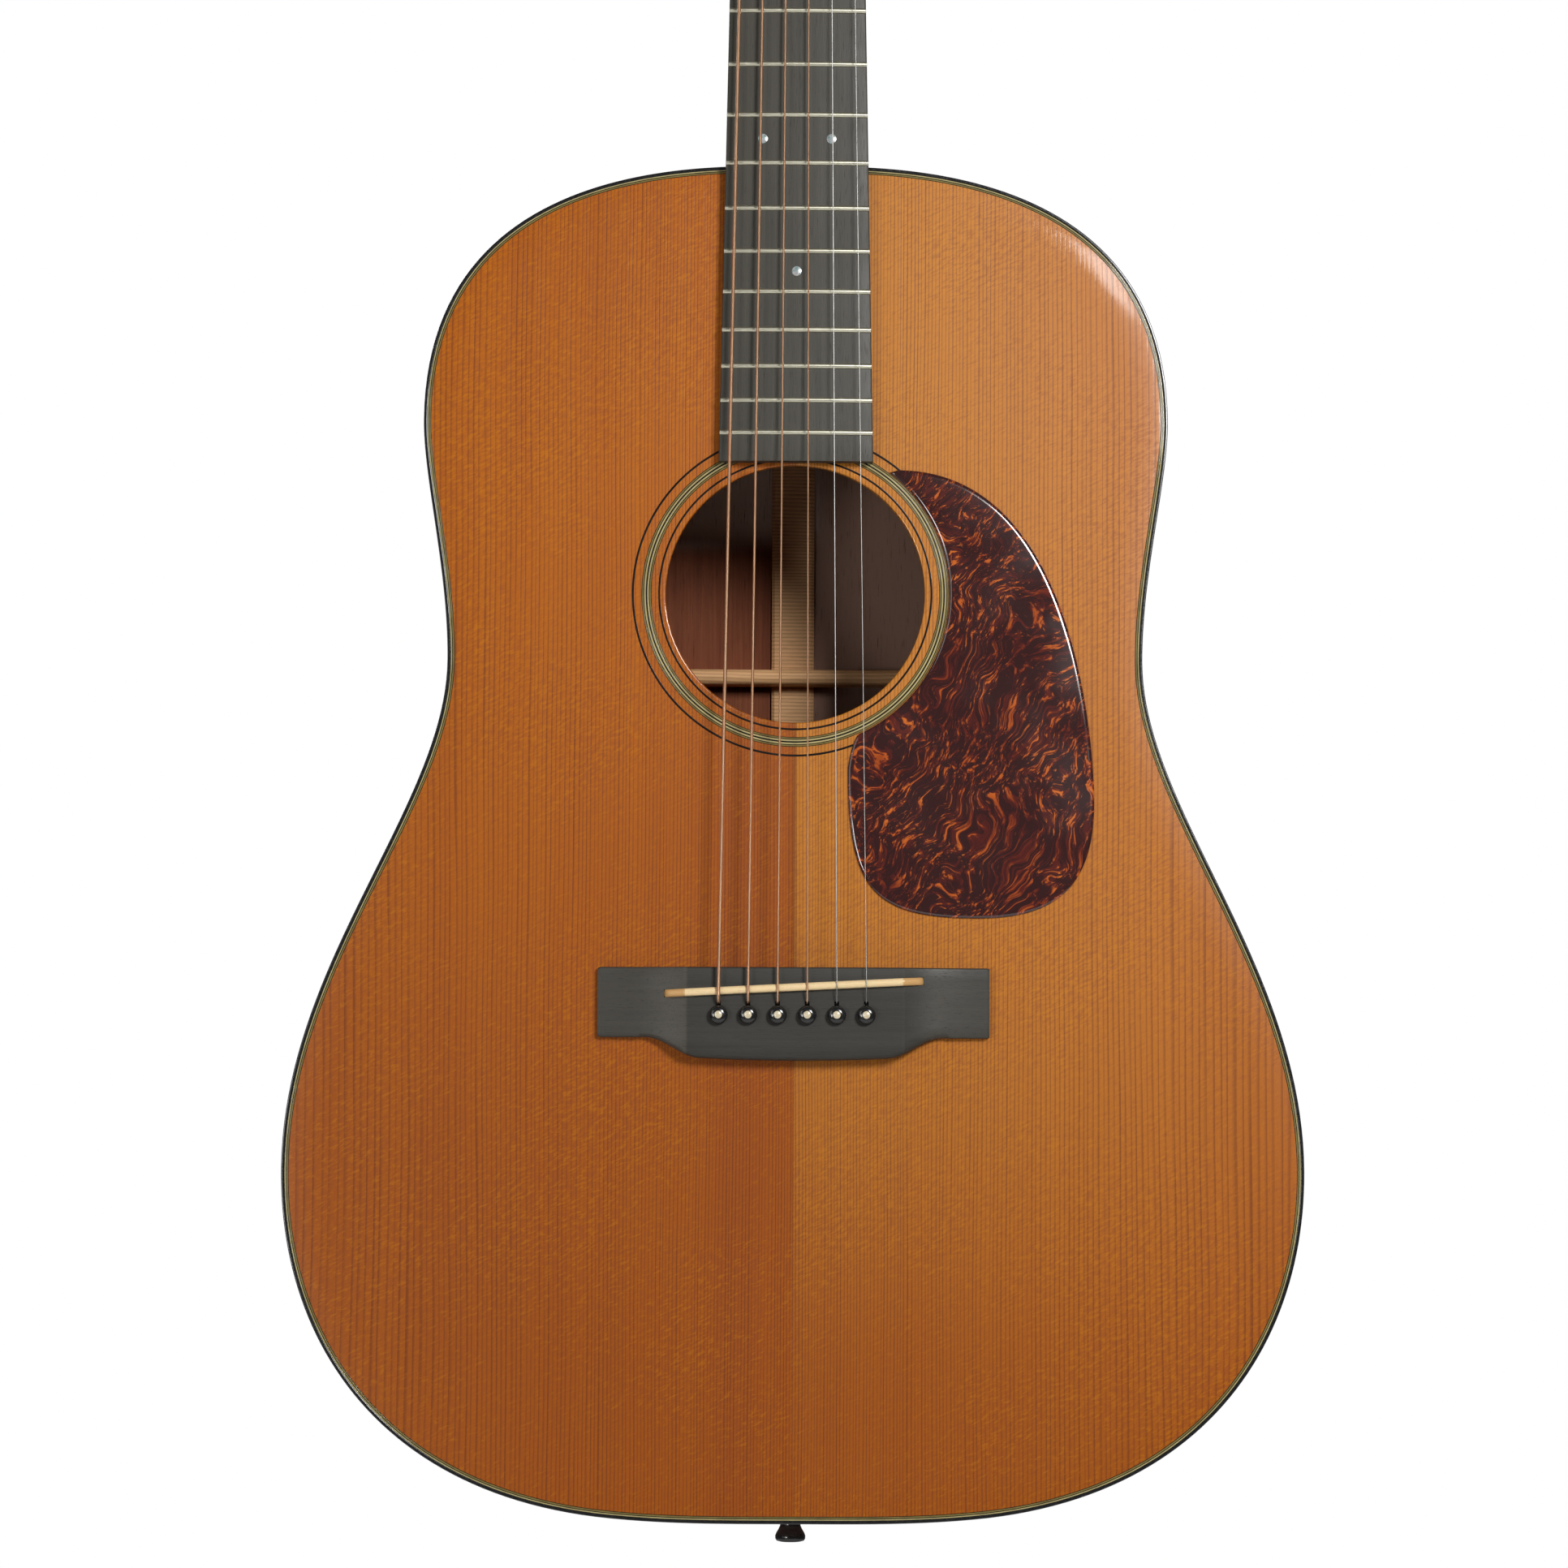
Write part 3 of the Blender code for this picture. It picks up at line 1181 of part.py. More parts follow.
def worm_shaft_mesh():
    """One worm with its shaft and button, along Z from the head's front to its back, thread angle 0 at +X."""
    root, tip = WORM_PITCH_RADIUS - WORM_ROOT, WORM_PITCH_RADIUS + WORM_TIP
    reach = THREAD_HALF + WORM_SHOULDER
    bm = bmesh.new()
    begin, finish = worm_thread(bm, root, tip, WORM_PITCH, -reach, reach)
    sides = len(begin)

    def ring(radius, z):
        turn = math.pi * (WORM_TURNS % 2)
        angles = [2 * math.pi * i / sides + turn for i in range(sides)]
        return [bm.verts.new((radius * math.cos(t), radius * math.sin(t), z)) for t in angles]

    def join(near, far):
        for i in range(sides):
            j = (i + 1) % sides
            bm.faces.new((near[i], near[j], far[j], far[i]))

    front = -EAR_SPAN - EAR_THICK - 1.2 * MM
    rear = HEAD_THICK - TUNER_V + BUTTON_CLEAR
    chain = [ring(SHAFT_RADIUS, -reach), ring(SHAFT_RADIUS, front)]
    join(chain[0], begin)
    join(chain[1], chain[0])
    bm.faces.new(chain[1])
    stem = SHAFT_RADIUS
    boss = SHAFT_RADIUS + 1.4 * MM
    chain = [ring(stem, reach), ring(stem, rear - 2.5 * MM), ring(boss, rear - 2.0 * MM),
             ring(boss, rear + 2.0 * MM)]
    join(finish, chain[0])
    for near, far in zip(chain, chain[1:]):
        join(near, far)
    bm.faces.new(chain[-1][::-1])
    return bm


def button_mesh():
    """A flat rounded button whose neck end meets the shaft's boss."""
    rear = HEAD_THICK - TUNER_V + BUTTON_CLEAR
    a, c, t = BUTTON_WIDTH / 2, BUTTON_LENGTH / 2, BUTTON_THICK / 2
    rings = []
    for level, share in ((-1.0, 0.7), (-0.6, 1.0), (0.6, 1.0), (1.0, 0.7)):
        ring = []
        for i in range(14):
            angle = 2 * math.pi * i / 14
            x = a * share * math.copysign(abs(math.cos(angle)) ** 0.8, math.cos(angle))
            z = rear + c + c * share * math.copysign(abs(math.sin(angle)) ** 0.8, math.sin(angle))
            ring.append(Vector((x, level * t, z)))
        rings.append(ring)
    bm = bmesh.new()
    loft(bm, rings)
    return bm


def head_frame(x, u, v):
    """Matrix whose Z runs back through the head, X up the head, at a point in head coordinates."""
    s, c = math.sin(HEAD_TILT), math.cos(HEAD_TILT)
    up, back = Vector((0, s, c)), Vector((0, c, -s))
    side = back.cross(up)
    turn = Matrix((up, side, back)).transposed().to_4x4()
    return Matrix.Translation(head_point(x, u, v)) @ turn


def make_tuners():
    shaft = add_object("worm_shaft", worm_shaft_mesh(), NICKEL, 35)
    fuse(shaft, button_mesh())
    master = shaft.data
    bpy.data.objects.remove(shaft, do_unlink=True)
    for number in range(1, 7):
        sign, post = tuner_of(number)
        u = post_places()[post]
        made = bpy.data.objects.new(f"tuner_shaft_{number}", master)
        bpy.context.scene.collection.objects.link(made)
        made.matrix_world = head_frame(sign * GEAR_X, u - WORM_DROP, TUNER_V)
        make_roller(number, sign, post, u)


def gear_outline():
    """Teeth with flat tips, a space facing angle pi (towards the worm)."""
    tip = GEAR_PITCH_RADIUS + GEAR_TIP
    root = GEAR_PITCH_RADIUS - GEAR_ROOT
    step = 2 * math.pi / GEAR_TEETH
    points = []
    for k in range(GEAR_TEETH):
        middle = math.pi + (k + 0.5) * step
        for r, turn in ((root, -0.235), (tip, -0.12), (tip, 0.12), (root, 0.235)):
            angle = middle + turn * step
            points.append((r * math.cos(angle), r * math.sin(angle)))
    return points


def make_roller(number, sign, post, u):
    """Post, string winding, gear and its screw, turning about the head's cross axis."""

    def place(a, b, x):
        return Vector((sign * x, a, b))

    inner = SLOT_INNER - POST_HOLE_DEPTH + GAP
    gear_in, gear_out = GEAR_X - GEAR_THICK / 2, GEAR_X + GEAR_THICK / 2
    wind = WINDING_X[post]
    w0, w1 = wind - WINDING_WIDTH / 2, wind + WINDING_WIDTH / 2
    r, screw = POST_RADIUS, 2.7 * MM
    profile = [
        (0, inner), (r, inner), (r, w0), (WINDING_RADIUS, w0 + 0.4 * MM), (WINDING_RADIUS, w1 - 0.4 * MM),
        (r, w1), (r, gear_out - 0.4 * MM), (screw, gear_out - 0.4 * MM), (screw, gear_out + 1.0 * MM),
        (0, gear_out + 1.4 * MM),
    ]
    bm = bmesh.new()
    turned(bm, profile, place, 10)
    roller = add_object(f"string_roller_{number}", bm, NICKEL, 40)
    bm = bmesh.new()
    prism(bm, gear_outline(), place, gear_in, gear_out)
    fuse(roller, bm)
    s, c = math.sin(HEAD_TILT), math.cos(HEAD_TILT)
    up, back = Vector((0, s, c)), Vector((0, c, -s))
    turn = Matrix((Vector((1, 0, 0)), up, back)).transposed().to_4x4()
    roller.matrix_world = Matrix.Translation(head_point(0, u, TUNER_V)) @ turn


make_soundboard()
make_rosette()
make_back()
make_sides()
make_bindings()
make_linings()
make_blocks()
make_x_brace()
make_top_braces()
make_bridge_plate()
make_back_braces()
make_centre_strip()
make_pickguard()
make_bridge()
make_saddle()
make_bridge_pins()
make_end_pin()
make_neck()
make_heel_cap()
make_truss_rod()
make_fingerboard()
make_nut()
make_head_veneer()
make_strings()
make_tuner_plates()
make_tuners()
bpy.context.view_layer.update()
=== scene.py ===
"""Looks of a twelve-fret, slope-shouldered flat-top guitar with steel strings.

Metres, +Z up the neck, front facing -Y, treble side towards +X.
Lacquered spruce top, mahogany back and sides, black edging, oiled ebony board and bridge.
"""

import math

import bmesh
import bpy
from mathutils import Matrix, Vector
from mathutils.geometry import tessellate_polygon


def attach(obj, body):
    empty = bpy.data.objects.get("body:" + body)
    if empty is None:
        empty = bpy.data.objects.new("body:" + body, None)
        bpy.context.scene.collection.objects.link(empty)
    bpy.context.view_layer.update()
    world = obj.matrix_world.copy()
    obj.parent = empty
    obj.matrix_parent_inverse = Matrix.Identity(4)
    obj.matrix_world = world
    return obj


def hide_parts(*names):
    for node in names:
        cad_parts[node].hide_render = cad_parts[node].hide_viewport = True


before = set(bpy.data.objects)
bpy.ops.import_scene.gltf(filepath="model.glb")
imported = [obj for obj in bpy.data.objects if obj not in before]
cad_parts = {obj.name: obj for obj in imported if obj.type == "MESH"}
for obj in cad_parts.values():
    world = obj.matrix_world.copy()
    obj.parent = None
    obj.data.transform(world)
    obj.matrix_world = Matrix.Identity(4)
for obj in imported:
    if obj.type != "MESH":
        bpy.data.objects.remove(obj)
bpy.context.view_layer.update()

MM = 0.001

# ---- body, as the maker's drawing gives it ----
BODY_LENGTH = 531.8 * MM
DEPTH_TAIL = 123.8 * MM
DEPTH_NECK = 98.4 * MM
BACK_ARCH_RADIUS = 4.6
BACK_LONG_ARCH = 4.0 * MM
PLATE = 2.8 * MM
SIDE_THICK = 2.2 * MM
BINDING_HEIGHT = 6.0 * MM
EDGE_ROLL = 0.55 * MM  # how far the top is sanded down at its very edge
EDGE_REACH = 14.0 * MM
HOLE_AT = 361.6 * MM
HOLE_RADIUS = 50.8 * MM
STRING_END_AT = 209.2 * MM
TAIL = 13.0 * MM
TOP_Y = -DEPTH_TAIL / 2
BODY_TOP_Z = TAIL + BODY_LENGTH
SCALE = 645.2 * MM
NUT_FACE_Z = BODY_TOP_Z + SCALE / 2
HEAD_Z = NUT_FACE_Z + 5 * MM
# ---- bridge, board, head, tuners ----
BRIDGE_HALF = 76.2 * MM
BRIDGE_HEIGHT = 8.8 * MM
BRIDGE_TIP = 3.2 * MM
BRIDGE_RAISED = 43.0 * MM
SADDLE_LENGTH = 100.8 * MM
SADDLE_TOP = 11.5 * MM
PIN_AT = STRING_END_AT - 12.9 * MM
PIN_HEAD = 3.7 * MM
NUT_WIDTH = 44.4 * MM
BODY_FRET_WIDTH = 56.3 * MM
BOARD_TOP = 6.5 * MM
BOARD_RADIUS = 0.508
FRETS = 19
HEAD_TILT = math.radians(15.0)
HEAD_LENGTH = 186.0 * MM
HEAD_HALF = 36.0 * MM
HEAD_THICK = 16.5 * MM
HEAD_FLARE = 22.0 * MM
HEAD_CROWN = 26.0 * MM
SLOT_EASE = 0.8 * MM  # how far the slots' rims are eased
HEEL_HALF = 17.0 * MM
HEEL_REACH = 27.0 * MM
POSTS = (62 * MM, 97 * MM, 132 * MM)
WINDING_X = (19.0 * MM, 16.2 * MM, 18.5 * MM)
WINDING_RADIUS = 4.6 * MM
POST_RADIUS = 3.3 * MM
GEAR_X = 41.3 * MM
GEAR_RADIUS = 5.25 * MM
GEAR_TEETH = 14
WORM_RADIUS = 2.6 * MM
WORM_DROP = GEAR_RADIUS + WORM_RADIUS
WORM_PITCH = math.pi * 0.75 * MM
WORM_REACH = 1.76 * WORM_PITCH + 0.85 * MM
TUNER_V = HEAD_THICK / 2
STRING_RADII = tuple(d * MM / 2 for d in (1.35, 1.07, 0.81, 0.61, 0.41, 0.30))


# ---------------------------------------------------------------- node trees
def feed(tree, socket, value):
    """Links a node's output, or sets a plain value."""
    if isinstance(value, bpy.types.Node):
        value = next(o for o in value.outputs if o.enabled)
    if isinstance(value, bpy.types.NodeSocket):
        tree.links.new(value, socket)
    elif socket.type == "RGBA" and len(value) == 3:
        socket.default_value = (*value, 1.0)
    else:
        socket.default_value = value


def node(tree, kind, feeds=None, **settings):
    made = tree.nodes.new(kind)
    for key, value in settings.items():
        setattr(made, key, value)
    for key, value in (feeds or {}).items():
        feed(tree, made.inputs[key], value)
    return made


class Finish:
    """A material and short calls for the nodes that build it up."""

    def __init__(self, name, **sockets):
        self.made = bpy.data.materials.new(name)
        self.made.use_nodes = True
        self.tree = self.made.node_tree
        self.shader = self.tree.nodes["Principled BSDF"]
        self.set(**sockets)

    def set(self, **sockets):
        for key, value in sockets.items():
            feed(self.tree, self.shader.inputs[key.replace("_", " ")], value)
        return self.made

    def place(self, turn=None):
        """The piece's own x, y and z, in millimetres."""
        where = node(self.tree, "ShaderNodeTexCoord").outputs["Object"]
        if turn:
            where = node(self.tree, "ShaderNodeMapping", {"Vector": where, "Rotation": turn})
        grown = node(self.tree, "ShaderNodeVectorMath", {0: where, 1: (1000.0,) * 3}, operation="MULTIPLY")
        parts = node(self.tree, "ShaderNodeSeparateXYZ", {"Vector": grown})
        return parts.outputs[0], parts.outputs[1], parts.outputs[2]

    def stored(self, name):
        return node(self.tree, "ShaderNodeAttribute", attribute_name=name).outputs["Fac"]

    def calc(self, operation, a, b=0.0):
        return node(self.tree, "ShaderNodeMath", {0: a, 1: b}, operation=operation)

    def add(self, *values):
        total = values[0]
        for value in values[1:]:
            total = self.calc("ADD", total, value)
        return total

    def times(self, a, b):
        return self.calc("MULTIPLY", a, b)

    def absolute(self, value):
        return self.calc("ABSOLUTE", value)

    def noise(self, a, b, c, detail=2.0, roughness=0.5, swirl=0.0):
        """Noise at three coordinates; a pair is a coordinate and the scale along it."""
        axes = {i: self.times(*v) if isinstance(v, tuple) else v for i, v in enumerate((a, b, c))}
        where = node(self.tree, "ShaderNodeCombineXYZ", axes)
        feeds = {"Vector": where, "Scale": 1.0, "Detail": detail, "Roughness": roughness, "Distortion": swirl}
        return node(self.tree, "ShaderNodeTexNoise", feeds).outputs[0]

    def fade(self, value, low, high, start=0.0, end=1.0):
        """A smooth step from start, where value is low, to end, where it is high."""
        feeds = {0: value, 1: low, 2: high, 3: start, 4: end}
        return node(self.tree, "ShaderNodeMapRange", feeds, interpolation_type="SMOOTHSTEP").outputs[0]

    def blend(self, share, a, b):
        """The colour a where share is 0, and b where it is 1."""
        made = node(self.tree, "ShaderNodeMix", data_type="RGBA")
        for key, value in ((0, share), (6, a), (7, b)):
            feed(self.tree, made.inputs[key], value)
        return made.outputs[2]

    def ramp(self, value, stops):
        made = node(self.tree, "ShaderNodeValToRGB", {0: value})
        band = made.color_ramp
        while len(band.elements) < len(stops):
            band.elements.new(0.5)
        for element, (at, colour) in zip(band.elements, stops):
            element.position, element.color = at, (*colour, 1.0)
        return made.outputs[0]

    def bump(self, height, distance, strength=1.0, under=None):
        feeds = {"Height": height, "Distance": distance, "Strength": strength}
        if under:
            feeds["Normal"] = under
        return node(self.tree, "ShaderNodeBump", feeds)


# ------------------------------------------------------------------- finishes
def spruce_lacquered():
    """Book-matched spruce, amber with age, under clear gloss lacquer that has sunk a little into the grain."""
    f = Finish("spruce_lacquered", Coat_Weight=1.0, Coat_Roughness=0.07, Specular_IOR_Level=0.28)
    x, _, z = f.place()
    side = f.fade(x, -0.15, 0.15)
    across = f.absolute(x)
    # year rings: close together by the seam and wider apart towards the edges
    slow = f.noise((across, 0.012), (side, 7.0), (z, 0.0035))
    uneven = f.noise((across, 0.22), (side, 5.0), (z, 0.0012))
    rings = f.times(f.calc("ARCTANGENT", f.times(across, 0.00663)), 120.6)
    rings = f.add(rings, f.times(slow, 3.0), f.times(uneven, 1.3))
    year = f.calc("FRACT", rings)
    late = f.times(f.fade(year, 0.50, 0.86), f.fade(year, 1.0, 0.94))
    weight = f.noise((across, 0.5), (side, 3.0), (z, 0.005), 3.0)
    line = f.times(late, f.fade(weight, 0.3, 0.7, 0.45, 1.0))
    line = f.times(line, f.fade(across, 20.0, 150.0, 1.0, 0.85))
    # silk lies across the grain, leaning
    fibre = f.noise((x, 4.0), 0.0, (z, 0.10), 4.0, 0.6)
    lean = f.add(z, f.times(x, -0.45))
    silk = f.noise((x, 0.30), 3.0, (lean, 0.95), 3.0, 0.6, 0.5)
    shy = f.noise((x, 0.010), (side, 4.0), (z, 0.010))
    silk = f.add(f.times(f.add(silk, -0.5), f.fade(shy, 0.35, 0.65, 0.5, 1.3)), 0.5)
    # broad changes of tone, then painted light and shade, and darker bands beside the seam
    patch = f.noise((x, 0.008), (side, 2.0), (z, 0.005))
    bands = f.noise((x, 0.06), (side, 3.0), (z, 0.0015))
    tone = f.ramp(f.add(f.times(patch, 0.6), f.times(bands, 0.4)), [
        (0.32, (0.40, 0.096, 0.002)), (0.5, (0.45, 0.114, 0.0025)), (0.68, (0.49, 0.134, 0.003))])
    # painted light: the treble half, on the key light's side, is made lighter, most near the seam and higher
    # up
    bright = f.times(f.fade(x, -0.2, 0.2), f.fade(x, 230.0, 0.0, 0.25, 1.0))
    bright = f.times(bright, f.fade(z, 40.0, 190.0, 0.15, 1.0))
    tone = f.blend(f.times(bright, 0.66), tone, (0.62, 0.250, 0.030))
    # painted shade: darker towards the tail and the bass side, away from the key light
    deep = f.fade(f.add(z, f.times(x, 0.5)), 400.0, 20.0)
    tone = f.blend(f.times(deep, 0.62), tone, (0.27, 0.055, 0.0005))
    # darker on the bass side of the seam below the hole, less so towards the tail
    by_seam = f.times(f.fade(x, -75.0, -10.0), f.fade(x, 0.2, -0.2))
    by_seam = f.times(by_seam, f.times(f.fade(z, 430.0, 300.0), f.fade(z, 30.0, 130.0, 0.35, 1.0)))
    tone = f.blend(f.times(by_seam, 0.5), tone, (0.32, 0.070, 0.003))
    # a narrower darker streak 22 mm to the bass side, from the hole down
    streak = f.times(f.fade(f.absolute(f.add(x, 22.0)), 13.0, 5.0), f.fade(z, 330.0, 290.0))
    tone = f.blend(f.times(streak, 0.22), tone, (0.24, 0.045, 0.005))
    # rings, fibre, silk and seam over them
    tone = f.blend(line, tone, f.blend(0.68, tone, (0.10, 0.017, 0.002)))
    tone = f.blend(f.fade(fibre, 0.35, 0.75, 0.0, 0.14), tone, (0.16, 0.035, 0.005))
    tone = f.blend(f.fade(silk, 0.50, 0.66, 0.0, 0.34), tone, f.blend(0.5, tone, (0.72, 0.28, 0.01)))
    tone = f.blend(f.fade(silk, 0.50, 0.36, 0.0, 0.28), tone, (0.22, 0.045, 0.006))
    seam = f.fade(f.absolute(x), 0.35, 0.12)
    tone = f.blend(f.times(seam, 0.45), tone, (0.10, 0.018, 0.004))
    # the lacquer has sunk over the rings and is a little wavy
    grain = f.bump(f.add(f.times(line, -0.7), f.times(silk, 0.9)), 0.06 * MM, 0.5)
    sunk = f.add(f.times(late, -0.5), f.times(fibre, 0.35), f.times(silk, 0.4))
    wavy = f.bump(f.noise((x, 0.06), 0.0, (z, 0.05), 3.0), 0.3 * MM, 0.15)
    f.set(Coat_Normal=f.bump(sunk, 0.022 * MM, 0.5, under=wavy))
    return f.set(Base_Color=tone, Roughness=f.fade(silk, 0.35, 0.65, 0.41, 0.34), Normal=grain)


def spruce_bare(name, turn=None):
    """Sanded spruce as it is left inside the body."""
    f = Finish(name)
    x, y, z = f.place(turn)
    warp = f.noise((x, 0.02), (y, 0.02), (z, 0.006))
    rings = f.add(f.times(x, 0.7), f.times(warp, 6.0))
    year = f.calc("FRACT", rings)
    line = f.times(f.fade(year, 0.3, 0.85), f.fade(year, 1.0, 0.92))
    fibre = f.noise((x, 3.0), (y, 3.0), (z, 0.1), 3.0)
    tone = f.blend(f.times(line, 0.6), (0.84, 0.49, 0.23), (0.46, 0.21, 0.08))
    tone = f.blend(f.fade(fibre, 0.4, 0.8, 0.0, 0.4), tone, (0.30, 0.15, 0.07))
    rough = f.fade(fibre, 0.3, 0.8, 0.6, 0.8)
    return f.set(Base_Color=tone, Roughness=rough, Normal=f.bump(fibre, 0.1 * MM, 0.4))


def mahogany(name, lacquered=True):
    """Ribbon-striped mahogany with dark open pores."""
    f = Finish(name, Coat_Weight=1.0 if lacquered else 0.0, Coat_Roughness=0.05)
    x, y, z = f.place()
    across = f.add(x, f.times(y, 0.6))
    ribbon = f.noise((across, 0.11), 0.0, (z, 0.007), 2.0)
    pores = f.noise((across, 2.6), (y, 1.4), (z, 0.09), 2.0, 0.7)
    fibre = f.noise((across, 1.2), 1.0, (z, 0.03), 4.0, 0.6)
    tone = f.ramp(ribbon, [
        (0.3, (0.150, 0.036, 0.014)), (0.52, (0.235, 0.066, 0.026)), (0.72, (0.165, 0.042, 0.016))])
    tone = f.blend(f.fade(fibre, 0.3, 0.8, 0.0, 0.5), tone, (0.10, 0.022, 0.009))
    dark = f.fade(pores, 0.60, 0.68)
    tone = f.blend(f.times(dark, 0.75), tone, (0.045, 0.012, 0.006))
    normal = f.bump(f.times(dark, -1.0), 0.05 * MM, 0.4)
    rough = f.fade(fibre, 0.3, 0.8, 0.34, 0.5) if lacquered else f.fade(fibre, 0.3, 0.8, 0.6, 0.8)
    return f.set(Base_Color=tone, Roughness=rough, Normal=normal)


def ebony(name, turn=None, sheen=0.42, raised=None):
    """Close-grained ebony, charcoal from handling; raised is where a raised middle ends, if there is one, and
    brings painted light on the wings and painted shade on the middle and by the crease.
    """
    f = Finish(name, Specular_IOR_Level=0.35)
    x, y, z = f.place(turn)
    streak = f.noise((x, 0.55), (y, 0.2), (z, 0.012), 4.0, 0.65)
    pores = f.noise((x, 3.5), (y, 3.5), (z, 0.16), 2.0, 0.6)
    worn = f.noise((x, 0.04), 2.0, (z, 0.03), 3.0)
    tone = f.ramp(streak, [
        (0.32, (0.043, 0.039, 0.031)), (0.6, (0.056, 0.051, 0.040)), (0.8, (0.068, 0.061, 0.048))])
    if raised:
        across, _, up = f.place()
        out = f.absolute(across)
        # painted light: the scooped wings are painted lighter just past the raised middle, less so outwards
        painted_wing_light = f.times(f.fade(out, raised, raised + 1.2), f.fade(out, raised + 22.0, raised + 4.0, 0.45, 1.0))
        # painted shade: on the treble side the wing next to the crease is painted darker
        painted_crease_shade = f.times(f.fade(across, raised, raised + 1.0), f.fade(across, raised + 16.0, raised + 5.0))
        painted_wing_light = f.add(painted_wing_light, f.times(painted_crease_shade, -0.9))
        # painted shade and light: the raised middle is painted darker and the scooped wings lighter
        middle, wing = f.blend(0.45, tone, (0.010, 0.010, 0.010)), f.blend(0.30, tone, (0.080, 0.070, 0.058))
        tone = f.blend(painted_wing_light, middle, wing)
        # painted highlight: a lighter belt along the rear of the raised middle
        rear = f.times(f.fade(up, 153.0, 145.0), f.fade(out, raised + 4.0, raised))
        tone = f.blend(f.times(rear, 0.5), tone, (0.060, 0.058, 0.054))
    tone = f.blend(f.fade(pores, 0.6, 0.72, 0.0, 0.6), tone, (0.010, 0.009, 0.008))
    rough = f.add(f.fade(worn, 0.3, 0.7, sheen, sheen + 0.1), f.fade(pores, 0.5, 0.7, 0.0, 0.1))
    return f.set(Base_Color=tone, Roughness=rough, Normal=f.bump(f.times(pores, -1.0), 0.06 * MM, 0.5))


def polished_black():
    """Black celluloid, polished, with fine handling marks."""
    f = Finish("black_celluloid", Coat_Weight=0.5, Coat_Roughness=0.04)
    x, y, z = f.place()
    marks = f.noise((x, 0.9), (y, 0.9), (z, 0.9), 5.0, 0.7)
    tone = f.blend(f.fade(marks, 0.4, 0.8), (0.010, 0.010, 0.010), (0.019, 0.019, 0.019))
    rough = f.fade(marks, 0.3, 0.8, 0.16, 0.30)
    return f.set(Base_Color=tone, Roughness=rough, Normal=f.bump(marks, 0.02 * MM, 0.3))


def inlay_strip(name, colour, dark):
    """A thin celluloid or fibre strip let into the top, under the lacquer."""
    f = Finish(name, Coat_Weight=0.8, Coat_Roughness=0.06, Specular_IOR_Level=0.1)
    x, y, z = f.place()
    age = f.noise((x, 0.12), (y, 0.12), (z, 0.12), 4.0, 0.65)
    tone = f.blend(f.fade(age, 0.3, 0.75), colour, dark)
    rough = f.fade(age, 0.3, 0.8, 0.3, 0.45)
    return f.set(Base_Color=tone, Roughness=rough, Normal=f.bump(age, 0.03 * MM, 0.3))


def tortoise():
    """Dark celluloid with torn streams of orange-red flecks, bevelled and polished."""
    f = Finish("tortoise_celluloid", Coat_Weight=1.0, Coat_Roughness=0.03, Specular_IOR_Level=0.5)
    x, _, z = f.place(turn=(0.0, math.radians(-32.0), 0.0))
    drift = f.noise((x, 0.020), 0.0, (z, 0.020), 3.0, 0.5)
    sway = f.noise((x, 0.020), 9.0, (z, 0.020), 3.0, 0.5)
    u = f.add(x, f.times(drift, 70.0))
    v = f.add(z, f.times(sway, 70.0))
    torn = f.noise((u, 0.40), 4.0, (v, 0.115), 5.0, 0.62, 0.6)
    fine = f.noise((u, 1.05), 8.0, (v, 0.30), 5.0, 0.65, 0.5)
    cloud = f.noise((x, 0.04), 5.0, (z, 0.04), 3.0)
    big = f.times(f.fade(torn, 0.575, 0.60), f.fade(fine, 0.44, 0.50))
    small = f.times(f.fade(fine, 0.60, 0.625), f.fade(torn, 0.42, 0.54, 0.1, 1.0))
    share = f.times(f.calc("MAXIMUM", big, small), f.fade(cloud, 0.30, 0.50, 0.3, 1.0))
    haze = f.fade(torn, 0.46, 0.60)
    tone = f.blend(haze, (0.036, 0.011, 0.011), (0.100, 0.016, 0.012))
    heat = f.add(f.times(fine, 0.5), f.times(cloud, 0.5))
    hot = f.ramp(heat, [(0.38, (0.33, 0.045, 0.010)), (0.62, (0.60, 0.145, 0.022))])
    tone = f.blend(share, tone, hot)
    normal = f.bump(f.noise((x, 0.05), 0.0, (z, 0.05), 2.0), 0.2 * MM, 0.12)
    return f.set(Base_Color=tone, Roughness=f.fade(cloud, 0.3, 0.7, 0.10, 0.2), Normal=normal)


def bone():
    """Aged bone: ivory with faint pores, and the saddle's lowered ends painted darker as shade."""
    f = Finish("aged_bone", Subsurface_Weight=0.12, Subsurface_Scale=0.002, Specular_IOR_Level=0.45)
    x, y, z = f.place()
    pores = f.noise((x, 0.5), (y, 4.0), (z, 2.0), 3.0, 0.6)
    # painted shade: the saddle's lowered, sloping ends are painted a darker tan
    ends = f.fade(f.absolute(x), 42.0, 42.6)
    tone = f.blend(f.times(ends, 0.85), (0.84, 0.64, 0.36), (0.58, 0.31, 0.10))
    tone = f.blend(f.fade(pores, 0.5, 0.75, 0.0, 0.35), tone, (0.50, 0.30, 0.12))
    rough = f.fade(pores, 0.3, 0.8, 0.28, 0.5)
    return f.set(Base_Color=tone, Roughness=rough, Normal=f.bump(pores, 0.04 * MM, 0.4))


def pearl():
    """Mother of pearl: cold greens and pinks that shift across each dot."""
    f = Finish("pearl_shell", Coat_Weight=1.0, Coat_Roughness=0.05, Metallic=0.25)
    x, y, z = f.place(turn=(0.3, 0.5, 0.0))
    wave = f.noise((x, 0.5), (y, 0.5), (z, 1.3), 3.0, 0.5, 1.5)
    tone = f.ramp(wave, [
        (0.3, (0.17, 0.27, 0.27)), (0.45, (0.38, 0.50, 0.49)), (0.58, (0.46, 0.40, 0.42)),
        (0.72, (0.58, 0.62, 0.60))])
    return f.set(Base_Color=tone, Roughness=f.fade(wave, 0.3, 0.7, 0.15, 0.3))


